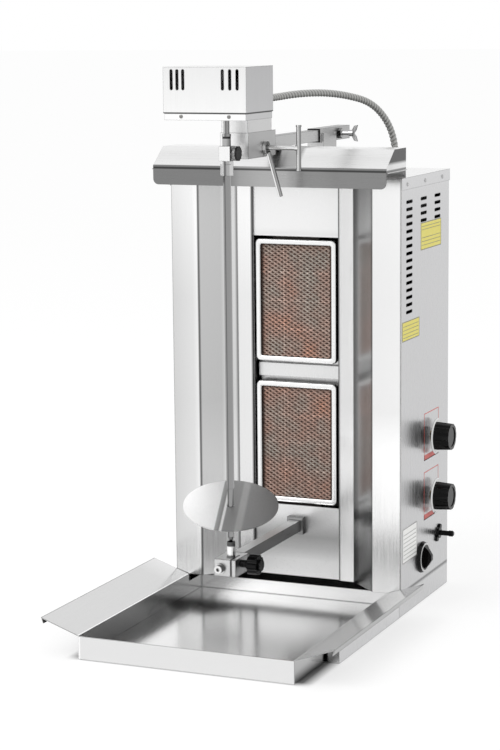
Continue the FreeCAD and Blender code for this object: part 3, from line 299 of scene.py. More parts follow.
def sheet_surface(tree, shader, place, source, rough, brush, wear, line=0.65, bend=0.0018):
    # brush holds how many times finer the scratches are along each axis. A bend or cut edge gets a
    # painted dark line, the painted reflection of the dark room, about as wide as its radius, bend in
    # metres: there the eased normal leaves the true one. The line starts where they agree to 0.996 and is
    # full where they agree to 0.86.
    true = add_node(tree, "ShaderNodeNewGeometry").outputs["Normal"]
    eased = add_node(tree, "ShaderNodeBevel", samples=4, Radius=bend)
    same = add_node(tree, "ShaderNodeVectorMath", operation="DOT_PRODUCT", _0=true, _1=eased.outputs[0])
    edge = add_node(tree, "ShaderNodeMapRange", _0=same.outputs["Value"], _1=0.86, _2=0.996,
                    _3=1.0 - line, _4=1.0)
    lined = add_node(tree, "ShaderNodeVectorMath", operation="SCALE", _0=source, Scale=edge.outputs[0])
    grain_place = add_node(tree, "ShaderNodeMapping", Vector=place, Scale=brush).outputs[0]
    grain = add_node(tree, "ShaderNodeTexNoise", Vector=grain_place, Scale=14.0, Detail=5.0,
                     Roughness=0.65).outputs["Fac"]
    cloud = add_node(tree, "ShaderNodeTexNoise", Vector=place, Scale=3.5, Detail=2.0).outputs["Fac"]
    both = add_node(tree, "ShaderNodeMath", operation="MULTIPLY_ADD", _0=cloud, _1=0.5, _2=grain)
    spread = add_node(tree, "ShaderNodeMapRange", _0=both.outputs[0], _1=0.45, _2=1.05, _3=1.0 - wear,
                      _4=1.0 + wear * 0.6)
    shade = add_node(tree, "ShaderNodeVectorMath", operation="SCALE", _0=lined.outputs[0],
                     Scale=spread.outputs[0])
    gloss = add_node(tree, "ShaderNodeMapRange", _0=grain, _1=noise_low, _2=noise_high,
                     _3=rough * 0.8, _4=rough * 1.25)
    bump = add_node(tree, "ShaderNodeBump", Strength=0.05, Distance=0.0002, Height=grain)
    set_inputs(tree, shader, {"Base Color": shade.outputs[0], "Roughness": gloss.outputs[0],
                              "Normal": bump.outputs[0], "Metallic": 1.0})


def stainless(name, tones, rough, brush, wear, levels=None, line=0.65, bend=0.0018):
    material, tree, shader, place = new_material(name)
    source = painted_light_by_facing(tree, tones)
    if levels:
        source = along(tree, place, levels[0], levels[1], source)
    sheet_surface(tree, shader, place, source, rough, brush, wear, line, bend)
    return material


# scratches that run along X, Y or Z, and turned or tumbled pieces with marks of no direction
along_x, along_y, along_z, all_ways = (1, 60, 60), (60, 1, 60), (60, 60, 1), (9, 9, 9)
print("scratches across are", along_x[1], "times finer")

# %% Sheets
# each finish below has painted reflections and painted shade in its tones by facing
# the dark line at 37 mm is the joint between the side panel and the base; above it the sheet is painted
# lighter towards the top
side_sheet = stainless(
    "brushed_stainless_side", dict(front="#e6e6e6", right="#cacacb", top="#e4e4e4"),
    0.26, (1, 60, 1), 0.03,
    ("Z", [(0, 1.0), (35.2, 1.0), (35.8, 0.2), (38.2, 0.2), (38.8, 0.93), (300, 0.94), (640, 1.0),
           (700, 1.08)]))
# the thin shadow at 810 mm is the joint between the cover and the pan, painted as a dark line; the head
# is painted lighter low down and darker towards the top
head_sheet = stainless(
    "brushed_stainless_head", dict(front="#f2f2f2", right="#bcbcbd", top="#f4f4f4"),
    0.34, along_z, 0.02,
    ("Z", [(800, 1.12), (808.9, 1.12), (809.5, 0.12), (811.2, 0.12), (811.8, 1.04), (877, 0.94)]),
    line=0.6)
# the rails' tops lie in the shadow of the tray's wings
rail_sheet = stainless("brushed_stainless_rail", dict(front="#e6e6e6", right="#d6d6d7", top="#5a5a5a"),
                       0.26, (1, 60, 1), 0.03)
neck_sheet = stainless("brushed_stainless_neck", dict(front="#ffffff", right="#d8d8d8", top="#e8e8e8"),
                       0.42, along_z, 0.03)
saddle_sheet = stainless("brushed_stainless_saddle",
                         dict(front="#ffffff", right="#b6b6b6", top="#e8e8e8"),
                         0.34, along_x, 0.05, line=0.7)
plain_sheet = stainless("brushed_stainless_frame",
                        dict(front="#e2e2e2", right="#b2b2b2", top="#eeeeee"),
                        0.30, along_y, 0.05)
bright_sheet = stainless("bright_stainless", dict(front="#e4e4e4", right="#6a6a6a", left="#6a6a6a"),
                         0.30, along_z, 0.03)
print("steel finishes", len(bpy.data.materials))

# %% [markdown]
# ## Front panels
# The front is folded from one sheet on each side. Its tones are painted reflection and painted shade:
# the flat faces are nearly white, the left slope is mid grey, and the right slope turns away from the
# light and is painted dark. At each fold the small radius gathers the dark of the room into a thin
# painted line. The position across the cabinet chooses the tone, as the bends are straight and upright.

# %% Folded front


def folded_front(name, tones, levels, zones):
    # tones is a list of (x in mm from the middle, hex), painted reflection and painted shade. levels
    # paint the front darker low down and lighter high up. Each zone changes the factors across the front
    # between
    # two heights, as painted light and shade: low down the pale table brightens the flat faces, high up
    # the hood shades the slopes.
    material, tree, shader, place = new_material(name)
    source = graded(tree, travel(tree, place, "X"), [(x, colour(tone)) for x, tone in tones], 1000)
    source = along(tree, place, "Z", levels, source)
    for start, full, factors in zones:
        changed = along(tree, place, "X", factors, source)
        source = between(tree, place, "Z", start, full, source, changed)
    sheet_surface(tree, shader, place, source, 0.22, along_z, 0.03)
    return material


left_sheet = folded_front("folded_stainless_left", [
    (-197, "#dcdcdc"), (-190, "#e0e0e0"), (-160, "#ececec"), (-152, "#fafafa"), (-150.2, "#787878"),
    (-148.6, "#787878"), (-147, "#cecece"), (-122, "#cccccc"), (-114, "#e6e6e6"), (-104, "#e4e4e4"),
    (-101, "#7c7c7c"), (-99.4, "#f4f4f4"), (-78, "#f6f6f6"), (-75.2, "#6a6a6a"), (-74, "#3a3a3a"),
], [(37, 0.78), (300, 0.84), (500, 0.90), (690, 1.16)], [
    (330, 60, [(-197, 1.18), (-152, 1.18), (-147, 1.5), (-102, 1.5), (-100, 1.1), (-74, 1.1)]),
    (500, 660, [(-197, 1.0), (-149, 1.0), (-147, 0.86), (-102, 0.86), (-100, 0.98), (-74, 0.98)])])
right_sheet = folded_front("folded_stainless_right", [
    (74, "#3a3a3a"), (75.2, "#6a6a6a"), (78, "#e6e6e6"), (99.4, "#f6f6f6"), (101, "#565656"),
    (105, "#606060"), (110, "#848484"), (115, "#b8b8b8"), (120, "#c2c2c2"), (128, "#c8c8c8"),
    (140, "#dadada"), (146, "#d0d0d0"), (148.4, "#6c6c6c"), (150.4, "#ececec"), (197, "#eeeeee"),
], [(37, 0.84), (200, 0.92), (300, 0.98), (500, 1.0), (690, 1.08)], [
    (330, 60, [(74, 1.42), (100, 1.42), (101, 0.64), (147, 0.64), (149, 1.95), (197, 1.95)]),
    (560, 680, [(74, 0.98), (100, 0.98), (101, 0.43), (147, 0.43), (149, 1.02), (197, 1.02)])])
# the middle of the cabinet is darkest where the low arm and the tray's back wall keep the light off
centre_sheet, tree, shader, place = new_material("centre_stainless")
source = painted_light_by_facing(tree, dict(front="#f6f6f6", right="#2c2c2c", left="#2c2c2c", top="#555555",
                                 under="#555555"))
source = along(tree, place, "Z", [
    (37, 1.0), (65, 0.96), (85, 0.66), (105, 0.48), (120, 0.66), (140, 0.98), (157, 1.02), (598, 1.0),
    (602, 0.9), (612, 1.0), (690, 1.05)], source)
sheet_surface(tree, shader, place, source, 0.32, along_y, 0.03)
print("front tones set")

# %% [markdown]
# ## Hood, with a painted dark reflection on its drop lip
# The hood's slope mirrors the white ceiling and its upright lip mirrors the dark room behind the
# photographer, both painted into its colour. How far forward a point lies tells them apart, and the
# cheek looks away from the light and is painted dark.

# %% Hood tones
hood_sheet, tree, shader, place = new_material("brushed_stainless_hood")
tones = dict(front="#ffffff", right="#484848", left="#484848", top="#ffffff", under="#f0f0f0")
upper = painted_light_by_facing(tree, tones)
# the cheek's lowest centimetre curls outward and mirrors the white ceiling, a painted reflection, over a
# painted dark line at its cut edge
curled = painted_light_by_facing(tree, {**tones, "right": "#f4f4f4", "left": "#f4f4f4"})
curled = along(tree, place, "Z", [(687, 1.0), (711.5, 1.0), (712.5, 0.25), (714.5, 0.25), (716, 1.0),
                                  (745, 1.0)], curled)
source = between(tree, place, "Z", 722, 727, curled, upper)
# painted reflection: the upright lip is painted dark, and the slope a little lighter towards the back
source = along(tree, place, "Y", [(-66, 0.24), (-64.8, 0.24), (-64.2, 0.82), (-45, 0.78), (-28, 0.84),
                                  (38, 0.9)], source)
# neck and saddle stand before the hood's middle: the slope mirrors them dark, the lip mirrors them pale
sloping = along(tree, place, "X", [(-210, 1.0), (12, 1.0), (22, 0.52), (46, 0.52), (52, 1.0), (210, 1.0)],
                source)
upright = along(tree, place, "X", [(-210, 0.92), (-66, 0.92), (-46, 1.5), (-12, 1.8), (30, 1.95),
                                   (71, 1.4), (113, 1.1), (210, 1.04)], source)
source = between(tree, place, "Y", -64.8, -64.2, upright, sloping)
sheet_surface(tree, shader, place, source, 0.30, along_x, 0.05, line=0.3, bend=0.0012)
print("hood finish", hood_sheet.name)

# %% [markdown]
# ## Tray
# The tray is bright sheet, and its tones are painted reflection and painted shade. Its wings and front
# wall are pale, the inner wall on the left looks at the dark side of the room, and the floor mirrors the
# cabinet's front, blurred by the brushing.

# %% Tray tones
tray_sheet, tree, shader, place = new_material("bright_stainless_tray")
tones = dict(front="#d6d6d6", right="#626262", left="#c0c0c0", top="#e2e2e2", under="#808080",
             back="#c0c0c0")
inner = painted_light_by_facing(tree, tones)
outer = painted_light_by_facing(tree, {**tones, "right": "#b8b8b8"})
source = between(tree, place, "X", 150, 160, inner, outer)
# the fold on the left gets a painted highlight; between the walls the tray is painted lighter, and beyond
# the right wall darker
source = along(tree, place, "X", [
    (-237, 0.98), (-176, 0.98), (-174.5, 1.0), (-174.2, 2.0), (-172.8, 2.0), (-172, 1.16), (172, 1.16),
    (177, 1.0), (179, 0.80), (237, 0.80)], source)
# the right part of the floor would mirror more of the pale cabinet and is painted darker; the front wall
# stays as it is
toned = along(tree, place, "X", [(-237, 1.0), (-100, 1.0), (-40, 0.88), (20, 0.81), (172, 0.76),
                                 (174, 1.0), (237, 1.0)], source)
source = between(tree, place, "Y", -393.4, -392.8, source, toned)
# the fold at the back is painted as a dark line, and the floor before it and the back wall are painted
# lighter
source = along(tree, place, "Y", [(-395, 1.0), (-70, 1.0), (10, 1.2), (44, 1.2), (45.5, 0.45),
                                  (47.2, 0.45), (48.2, 1.5), (50, 1.5)], source)
sheet_surface(tree, shader, place, source, 0.17, along_y, 0.04, line=0.75, bend=0.002)
print("tray finish", tray_sheet.name)

# %% [markdown]
# ## Plastic, brass, chrome and ceramic
# Knobs and switches are moulded phenolic resin, black all through, with a gloss from the mould. Taps and
# injectors are machined brass. Screws and handles are bright nickel and chrome plate. The burner tiles
# are pressed cordierite ceramic, matt and pinkish, with rows of flame holes about 1.3 mm wide.

# %% Plastic
rough = 0.16
black_phenolic, tree, shader, place = new_material("moulded_black_phenolic")
skin = add_node(tree, "ShaderNodeTexNoise", Vector=place, Scale=900.0, Detail=3.0).outputs["Fac"]
patch = add_node(tree, "ShaderNodeTexNoise", Vector=place, Scale=40.0, Detail=2.0).outputs["Fac"]
gloss = add_node(tree, "ShaderNodeMapRange", _0=patch, _1=noise_low, _2=noise_high, _3=rough * 0.85,
                 _4=rough * 1.2)
lift = add_node(tree, "ShaderNodeMapRange", _0=patch, _1=noise_low, _2=noise_high, _3=0.85, _4=1.2)
shade = add_node(tree, "ShaderNodeVectorMath", operation="SCALE", _0=colour("#0b0b0c")[:3],
                 Scale=lift.outputs[0])
bump = add_node(tree, "ShaderNodeBump", Strength=0.08, Distance=0.0001, Height=skin)
set_inputs(tree, shader, {"Base Color": shade.outputs[0], "Roughness": gloss.outputs[0],
                          "Normal": bump.outputs[0], "IOR": 1.6, "Specular IOR Level": 0.13})
print("plastic", black_phenolic.name)

# %% Plated and cast metals


def metal(name, tone, rough, pattern=220.0):
    material, tree, shader, place = new_material(name)
    marks = add_node(tree, "ShaderNodeTexNoise", Vector=place, Scale=pattern, Detail=4.0).outputs["Fac"]
    spread = add_node(tree, "ShaderNodeMapRange", _0=marks, _1=noise_low, _2=noise_high, _3=0.92, _4=1.0)
    shade = add_node(tree, "ShaderNodeVectorMath", operation="SCALE", _0=colour(tone)[:3],
                     Scale=spread.outputs[0])
    gloss = add_node(tree, "ShaderNodeMapRange", _0=marks, _1=noise_low, _2=noise_high, _3=rough * 0.8,
                     _4=rough * 1.3)
    set_inputs(tree, shader, {"Base Color": shade.outputs[0], "Roughness": gloss.outputs[0],
                              "Metallic": 1.0})
    return material


def polished_bar(name, stops, rough):
    # A round bar mirrors the whole room in stripes along its length, here painted into its colour as
    # painted reflections: the dark ones at its two rims and one beside the bright window. Each stop says
    # how far the face looks to the side, from -1 to 1.
    sideways = (0.78, 0.34, -0.53)
    material, tree, shader, place = new_material(name)
    normal = add_node(tree, "ShaderNodeNewGeometry").outputs["Normal"]
    across = add_node(tree, "ShaderNodeVectorMath", operation="DOT_PRODUCT", _0=normal, _1=sideways)
    source = graded(tree, across.outputs["Value"], [(side, colour(tone)) for side, tone in stops])
    sheet_surface(tree, shader, place, source, rough, all_ways, 0.06, line=0.55, bend=0.0006)
    return material


bright_plate = polished_bar("chromed_steel", [
    (-1, "#4c4c4c"), (-0.72, "#6c6c6c"), (-0.52, "#e6e6e6"), (-0.2, "#f0f0f0"), (-0.02, "#8c8c8c"),
    (0.35, "#a6a6a6"), (0.62, "#7e7e7e"), (0.8, "#4c4c4c"), (1, "#3c3c3c")], 0.16)
turned_steel = polished_bar("turned_steel", [
    (-1, "#4a4a4a"), (-0.75, "#b4b4b4"), (-0.5, "#c8c8c8"), (-0.3, "#6a6a6a"), (0.0, "#8e8e8e"),
    (0.3, "#9e9e9e"), (0.6, "#7a7a7a"), (0.8, "#565656"), (1, "#3c3c3c")], 0.24)
machined_brass = metal("machined_brass", "#c9a55c", 0.22)
cast_case = metal("cast_aluminium", "#a5a5a6", 0.45, 500.0)
dull_steel = metal("aluminised_steel", "#8d8c8a", 0.42)
dark_steel = metal("scaled_steel", "#2e2b29", 0.55)
print("finishes so far", len(bpy.data.materials))

# %% [markdown]
# ## The round disc
# The disc is a polished sheet that leans towards the viewer. Its colour is a painted reflection: the
# white room on its left and the grey cabinet on its right, with the skewer's bright streak between them,
# all a little blurred. The tone follows a line across the disc, measured in millimetres from its middle.

# %% Disc
disc_middle, disc_line = (0, -220, 213), (-0.955, -0.294, 0.041)
disc_steel, tree, shader, place = new_material("polished_stainless_disc")
streaks = along(tree, place, disc_line, [
    (-73, 0.31), (-26, 0.34), (-22, 0.50), (-15, 0.50), (-12, 0.36), (4.5, 0.36), (6, 0.90), (8.5, 0.90),
    (10, 0.30), (16, 0.44), (17.5, 1.0), (73, 1.0)], colour("#fdfdfd")[:3], disc_middle)
# the polish leaves short marks about 1 mm apart
marks = add_node(tree, "ShaderNodeTexNoise", Vector=place, Scale=900.0, Detail=3.0).outputs["Fac"]
speckle = add_node(tree, "ShaderNodeMapRange", _0=marks, _1=noise_low, _2=noise_high, _3=0.86, _4=1.06)
shade = add_node(tree, "ShaderNodeVectorMath", operation="SCALE", _0=streaks, Scale=speckle.outputs[0])
sheet_surface(tree, shader, place, shade.outputs[0], 0.38, (60, 60, 60), 0.02, line=0.6, bend=0.0012)
print("disc finish", disc_steel.name)

# %% Skewer and socket
skewer_axis, skewer_line = (0, -220, 0), (0.918, 0.395, 0)
skewer_steel, tree, shader, place = new_material("polished_stainless_skewer")
source = painted_light_by_facing(tree, dict(front="#969696", right="#969696", left="#666666", top="#dddddd"))
# painted reflection: the skewer's left corner mirrors the dark side of the room, and its right side is
# painted brighter
source = along(tree, place, skewer_line, [(-8, 0.25), (-3.4, 0.25), (-2.2, 0.95), (4.5, 1.0), (5.5, 1.5),
                                          (8, 1.5)], source, skewer_axis)
sheet_surface(tree, shader, place, source, 0.16, along_z, 0.06, line=0.3)
socket_steel, tree, shader, place = new_material("polished_stainless_socket")
# from 759 mm up the socket is painted half as bright, and from 770 mm nearly black
square = painted_light_by_facing(tree, dict(front="#fafafa", right="#8c8c8c", left="#e6e6e6", top="#6a6a6a",
                                 under="#404040"))
square = along(tree, place, "Z", [(736, 1.0), (758.6, 1.0), (759.2, 0.5), (769.6, 0.5), (770.2, 0.06),
                                  (773, 0.06)], square)
# below the square head a round part mirrors the window on its left and the grey cabinet beside it, as a
# painted reflection
lower = painted_light_by_facing(tree, dict(front="#ffffff"))
lower = along(tree, place, skewer_line, [(-12, 0.9), (-5.5, 0.9), (-4.5, 0.2), (-1.5, 0.2), (-0.5, 0.42),
                                         (3.5, 0.45), (4.5, 0.62), (12, 0.62)], lower, skewer_axis)
source = between(tree, place, "Z", 736.4, 737.0, lower, square)
sheet_surface(tree, shader, place, source, 0.26, along_z, 0.05, line=0.8, bend=0.0012)
print("skewer finish", skewer_steel.name)

# %% Handles, bars and small parts
# each finish below has painted reflections and painted shade in its tones by facing
arm_steel = stainless(
    "polished_stainless_arm",
    dict(front="#b0b0b0", right="#808080", left="#808080", top="#c4c4c4", under="#505050"),
    0.34, along_y, 0.08)
block_steel = stainless(
    "milled_stainless_block", dict(front="#d6d6d6", right="#d0d0d0", left="#8a8a8a", top="#c8c8c8"),
    0.30, (9, 60, 9), 0.06, line=0.95, bend=0.0028)
upper_arm_steel = stainless(
    "polished_stainless_upper_arm",
    dict(front="#8a8a8a", right="#b9b9b9", left="#b9b9b9", top="#7a7a7a", under="#202020"),
    0.30, along_y, 0.05, line=0.8, bend=0.0014)
sleeve_steel = stainless(
    "polished_stainless_sleeve",
    dict(front="#3c3c3c", right="#acacac", left="#acacac", top="#8a8a8a", under="#303030"),
    0.30, along_y, 0.05, line=0.85, bend=0.0016)
collar_steel = stainless(
    "polished_stainless_collar", dict(front="#a6a6a6", right="#343434", left="#5a5a5a", top="#444444"),
    0.30, (60, 9, 60), 0.05, line=0.9, bend=0.0016)
# the cup's mouth and its foot on the block lie in shadow
cup_steel = stainless(
    "polished_stainless_cup", dict(front="#ffffff", right="#8a8a8a", left="#a0a0a0", top="#303030"),
    0.22, along_z, 0.04,
    ("Z", [(130, 0.25), (135.5, 0.25), (137, 1.0), (149, 1.0), (151, 0.10), (157, 0.10)]),
    line=0.5, bend=0.0008)
cap_steel = stainless(
    "chromed_steel_cap",
    dict(front="#ececec", right="#3c3c3c", left="#3c3c3c", top="#505050", under="#303030"),
    0.22, all_ways, 0.05, line=0.9, bend=0.0012)
# the thumbscrew's fluted head: a pale collar at the socket, then black flutes
thumb_steel = stainless(
    "blackened_steel_thumbscrew", dict(front="#c0c0c0", right="#4a4a4a", top="#a0a0a0"),
    0.3, all_ways, 0.1,
    ("X", [(7, 0.1), (8.4, 0.1), (9, 1.5), (12.4, 1.5), (13, 0.5), (16.6, 0.6), (17.2, 0.06),
           (20, 0.06)]), line=0.6, bend=0.001)
skirt_steel = stainless(
    "chromed_steel_pressed", dict(front="#dcdcdc", right="#c4c4c4", top="#eeeeee"),
    0.2, all_ways, 0.03, line=0.75, bend=0.0014)
print("finishes so far", len(bpy.data.materials))

# %% Ceramic
ceramic, tree, shader, place = new_material("pressed_ceramic")
# flame holes 1.3 mm wide, 1.9 mm apart
cells = add_node(tree, "ShaderNodeTexVoronoi", feature="F1", Vector=place, Scale=520.0, Randomness=0.15)
hole = add_node(tree, "ShaderNodeMapRange", _0=cells.outputs["Distance"], _1=0.25, _2=0.38)
tint = add_node(tree, "ShaderNodeTexNoise", Vector=place, Scale=24.0, Detail=3.0)
clay = add_node(tree, "ShaderNodeMix", data_type="RGBA", _0=tint.outputs["Fac"], _6=colour("#ae8270"),
                _7=colour("#94827a"))
# painted shade: the flame holes are painted as dark spots
pitted = add_node(tree, "ShaderNodeMix", data_type="RGBA", _0=hole.outputs[0], _6=colour("#6a5248"),
                  _7=clay.outputs[2])
set_inputs(tree, shader, {"Base Color": pitted.outputs[2], "Roughness": 0.9})
print("ceramic ready")

# %% [markdown]
# ## Giving the construction its finishes
# Each node of the construction model is one mesh. The table below names the finish of each, and one loop
# puts it on.

# %% Finishes by node
finishes = {
    "base_frame": side_sheet, "right_rail": rail_sheet, "left_rail": rail_sheet, "drip_tray": tray_sheet,
    "left_front_panel": left_sheet, "right_front_panel": right_sheet, "centre_panel": centre_sheet,
    "burner_divider": bright_sheet, "upper_burner_box": dark_steel, "lower_burner_box": dark_steel,
    "ceramic_tiles": ceramic, "right_side_panel": side_sheet, "left_side_panel": side_sheet,
    "back_panel": plain_sheet, "top_cover": side_sheet, "hood": hood_sheet, "arm_sleeve": sleeve_steel,
    "sleeve_stand": plain_sheet, "arm_collar": collar_steel, "upper_arm": upper_arm_steel,
    "neck": neck_sheet, "saddle": saddle_sheet, "head_pan": head_sheet, "head_cover": head_sheet,
    "gear_motor": cast_case, "clamp_screw": bright_plate, "lock_lever": bright_plate,
    "wing_bolt": bright_plate, "spindle_shaft": turned_steel, "skewer_socket": socket_steel,
    "thumb_screw": thumb_steel, "skewer": skewer_steel, "meat_disc": disc_steel, "lower_arm": arm_steel,
    "lower_block": block_steel, "pivot_cup": cup_steel, "block_screw": cap_steel,
    "clamp_knob": black_phenolic, "upper_tap_plug": machined_brass, "upper_knob": black_phenolic,
    "upper_tap_stem": skirt_steel, "lower_tap_plug": machined_brass, "lower_knob": black_phenolic,
    "lower_tap_stem": skirt_steel, "gas_taps": machined_brass, "gas_manifold": dull_steel,
    "gas_inlet": machined_brass, "injectors": machined_brass, "feed_pipes": cast_case,
    "switch_body": black_phenolic, "switch_dial": black_phenolic, "igniter_body": black_phenolic,
    "igniter_button": black_phenolic, "head_gland": bright_plate, "top_gland": bright_plate,
    "case_screws": skirt_steel, "head_screws": dull_steel,
}
for name, finish in finishes.items():
    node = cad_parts[name]
    node.data.materials.clear()
    node.data.materials.append(finish)
print("finished nodes", len(finishes))

# %% [markdown]
# ## Mesh and rims of the burners
# In front of each burner lies a grille of expanded steel: a slit sheet, drawn out so that each strand
# leans like a scale over a small hole, and tinted brown by the heat. A pressed rim with a rounded section
# holds it. The rim is swept round a rectangle with rounded corners, and the strands run in zigzags.

# %% Helpers for meshes


def new_piece(name, mesh, *materials):
    # makes an object of the scene from a mesh under construction
    bmesh.ops.recalc_face_normals(mesh, faces=mesh.faces)
    data = bpy.data.meshes.new(name)
    mesh.to_mesh(data)
    mesh.free()
    for material in materials:
        data.materials.append(material)
    piece = bpy.data.objects.new(name, data)
    bpy.context.scene.collection.objects.link(piece)
    return piece


def join_rings(mesh, first, second):
    # a smooth band of faces from one closed ring of points to the next
    for i in range(len(first)):
        j = (i + 1) % len(first)
        mesh.faces.new((first[i], first[j], second[j], second[i])).smooth = True


burner_middles = {"upper": 494.0, "lower": 261.0}
print("burners at", list(burner_middles.values()), "mm")

# %% Rim
# painted reflection and painted shade: the rim's sides and top are painted darker than its front
rim_finish = stainless(
    "polished_stainless_rim",
    dict(front="#f8f8f8", right="#7a7a7a", left="#606060", top="#909090", under="#585858"),
    0.30, along_z, 0.02, line=0.3, bend=0.0006)
# all in mm: how far the rim's front lies behind the cabinet's, and its section from the outer edge
# inwards, each point with its distance from that edge and its depth
rim_front = 47.6
rim_section = [(0.0, 10.4), (0.0, 2.0), (0.5, 1.0), (1.4, 0.35), (2.8, 0.0), (6.4, 0.0), (8.0, 0.6),
               (9.0, 1.8), (9.0, 3.4)]
outer_corner, least_corner, corner_steps = 8.0, 3.0, 8


def rounded_ring(half_x, half_z, corner):
    points = []
    for k, (sx, sz) in enumerate(((1, 1), (-1, 1), (-1, -1), (1, -1))):
        for i in range(corner_steps + 1):
            a = math.radians(90 * k + 90 * i / corner_steps)
            points.append((sx * (half_x - corner) + corner * math.cos(a),
                           sz * (half_z - corner) + corner * math.sin(a)))
    return points


def burner_rim(name, mid_z, node):
    low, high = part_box(node)
    half_x, half_z = (high.x - low.x) / 2 * 1000, (high.z - low.z) / 2 * 1000
    mesh = bmesh.new()
    rings = []
    for inset, depth in rim_section:
        ring = rounded_ring(half_x - inset, half_z - inset, max(outer_corner - inset, least_corner))
        rings.append([mesh.verts.new(at(x, rim_front + depth, mid_z + z)) for x, z in ring])
    for first, second in zip(rings, rings[1:]):
        join_rings(mesh, first, second)
    piece = new_piece(name, mesh, rim_finish)
    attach(piece, "cabinet")
    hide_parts(node)


for name, mid_z in burner_middles.items():
    burner_rim(name + "_rim", mid_z, name + "_burner_screen")
print("rims made")

# %% Expanded metal


def strand_finish(name, tones):
    # heat leaves patches of brown and grey a few centimetres wide
    material, tree, shader, place = new_material(name)
    patch = add_node(tree, "ShaderNodeTexNoise", Vector=place, Scale=17.0, Detail=3.0).outputs["Fac"]
    stops = [(level, colour(tone)) for level, tone in zip((0.30, 0.46, 0.64), tones)]
    source = graded(tree, patch, stops)
    # under the rim the strands lie in shadow
    source = along(tree, place, "X", [(-61, 0.08), (-58, 0.1), (-55.5, 0.7), (-50, 1.0), (58, 1.0),
                                      (61, 0.6)], source)
    # painted shadow along the top, under the rim's upper edge
    for mid_z in burner_middles.values():
        source = along(tree, place, "Z", [(mid_z + 85, 1.0), (mid_z + 88, 0.75), (mid_z + 91, 0.35),
                                          (mid_z + 95, 1.0)], source)
    # painted highlights: the strands are painted lighter in lines over the joints between the tiles
    # behind, 41 mm and 46 mm apart
    source = along(tree, place, "X", [
        (-61, 1.0), (-21.4, 1.0), (-20.8, 1.5), (-20.2, 1.5), (-19.6, 1.0), (19.6, 1.0), (20.2, 1.5),
        (20.8, 1.5), (21.4, 1.0), (61, 1.0)], source)
    for mid_z in burner_middles.values():
        for z in (mid_z - 46, mid_z, mid_z + 46):
            source = along(tree, place, "Z", [(z - 1.2, 1.0), (z - 0.6, 1.4), (z + 0.6, 1.4),
                                              (z + 1.2, 1.0)], source)
    # painted glints: fine specks that make the strands lighter and darker
    glint = add_node(tree, "ShaderNodeTexNoise", Vector=place, Scale=160.0, Detail=2.0).outputs["Fac"]
    sparkle = add_node(tree, "ShaderNodeMapRange", _0=glint, _1=noise_low, _2=noise_high, _3=0.72,
                       _4=1.28)
    shade = add_node(tree, "ShaderNodeVectorMath", operation="SCALE", _0=source, Scale=sparkle.outputs[0])
    set_inputs(tree, shader, {"Base Color": shade.outputs[0], "Metallic": 1.0, "Roughness": 0.38})
    return material


# the falling strands take the lit copy of the finish, and the rising strands a painted shaded copy
falling_strand = strand_finish("heat_tinted_expanded_steel", ("#b48c7c", "#a48c82", "#9c948c"))
rising_strand = strand_finish("heat_tinted_expanded_steel_shaded", ("#8e6a5a", "#866e64", "#7e746c"))
# all in mm: half the grille, half a hole, a strand's width and thickness, how far the strands' front and
# back lie behind the cabinet's front, and how high a zigzag rises
half_wide, half_high = 62.0, 92.0
half_long, half_short = 5.5, 3.4
width, thick = 2.5, 0.5
strand_front, strand_back = 49.1, 50.3
swing = half_short - 0.5


def expanded_mesh(name, mid_z):
    # each strand leans: its lower edge lies in front of its upper edge
    section = ((strand_front, -width / 2), (strand_front + thick, -width / 2), (strand_back, width / 2),
               (strand_back - thick, width / 2))
    mesh = bmesh.new()
    for i in range(int(2 * half_high / half_short) + 1):
        for k in range(int(2 * half_wide / half_long)):
            rings = []
            for j in (k, k + 1):
                x = -half_wide + j * half_long
                z = mid_z - half_high + i * half_short + (swing if (i + j) % 2 else -swing) / 2
                rings.append([mesh.verts.new(at(x, y, z + dz)) for y, dz in section])
            for m in range(4):
                n = (m + 1) % 4
                face = mesh.faces.new((rings[0][m], rings[0][n], rings[1][n], rings[1][m]))
                # alternate strands take the lit copy and the painted shaded copy
                face.material_index = (i + k + 1) % 2
    piece = new_piece(name, mesh, falling_strand, rising_strand)
    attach(piece, "cabinet")
    return piece


for name, mid_z in burner_middles.items():
    piece = expanded_mesh(name + "_mesh", mid_z)
    print(piece.name, "faces", len(piece.data.polygons))

# %% [markdown]
# ## The ribbed hose
# The motor's wires run in a flexible metal hose, wound from a steel strip, so that a shallow groove runs
# round it like a screw thread. Its middle line is a smooth curve through the air from the head to the
# cabinet's top. A ring of points follows that line, and its radius rises and falls with the winding.

# %% Middle line of the hose
route = [at(*p) for p in (
    (48, -186, 828), (48, -152, 828), (64, -100, 832), (84, -42, 832), (102, 14, 826),
    (120.4, 74.2, 813.2), (133.5, 116.4, 782), (140, 136, 742), (140, 136, 711))]
line = bpy.data.curves.new("hose_line", "CURVE")
line.dimensions = "3D"
line.resolution_u = 48
spline = line.splines.new("NURBS")
spline.points.add(len(route) - 1)
for point, spot in zip(spline.points, route):
    point.co = (*spot, 1.0)
spline.order_u = 3
spline.use_endpoint_u = True
line_object = bpy.data.objects.new("hose_line", line)
line_mesh = bpy.data.meshes.new_from_object(line_object)
line_points = [v.co.copy() for v in line_mesh.vertices]
bpy.data.objects.remove(line_object)
lengths = [0.0]
for a, b in zip(line_points, line_points[1:]):
    lengths.append(lengths[-1] + (b - a).length)
hose_length = lengths[-1]


def on_line(distance):
    for i in range(1, len(lengths)):
        if distance <= lengths[i] or i == len(lengths) - 1:
            share = (distance - lengths[i - 1]) / (lengths[i] - lengths[i - 1])
            return line_points[i - 1].lerp(line_points[i], min(share, 1.0))


print("hose length", round(hose_length, 4), "m")

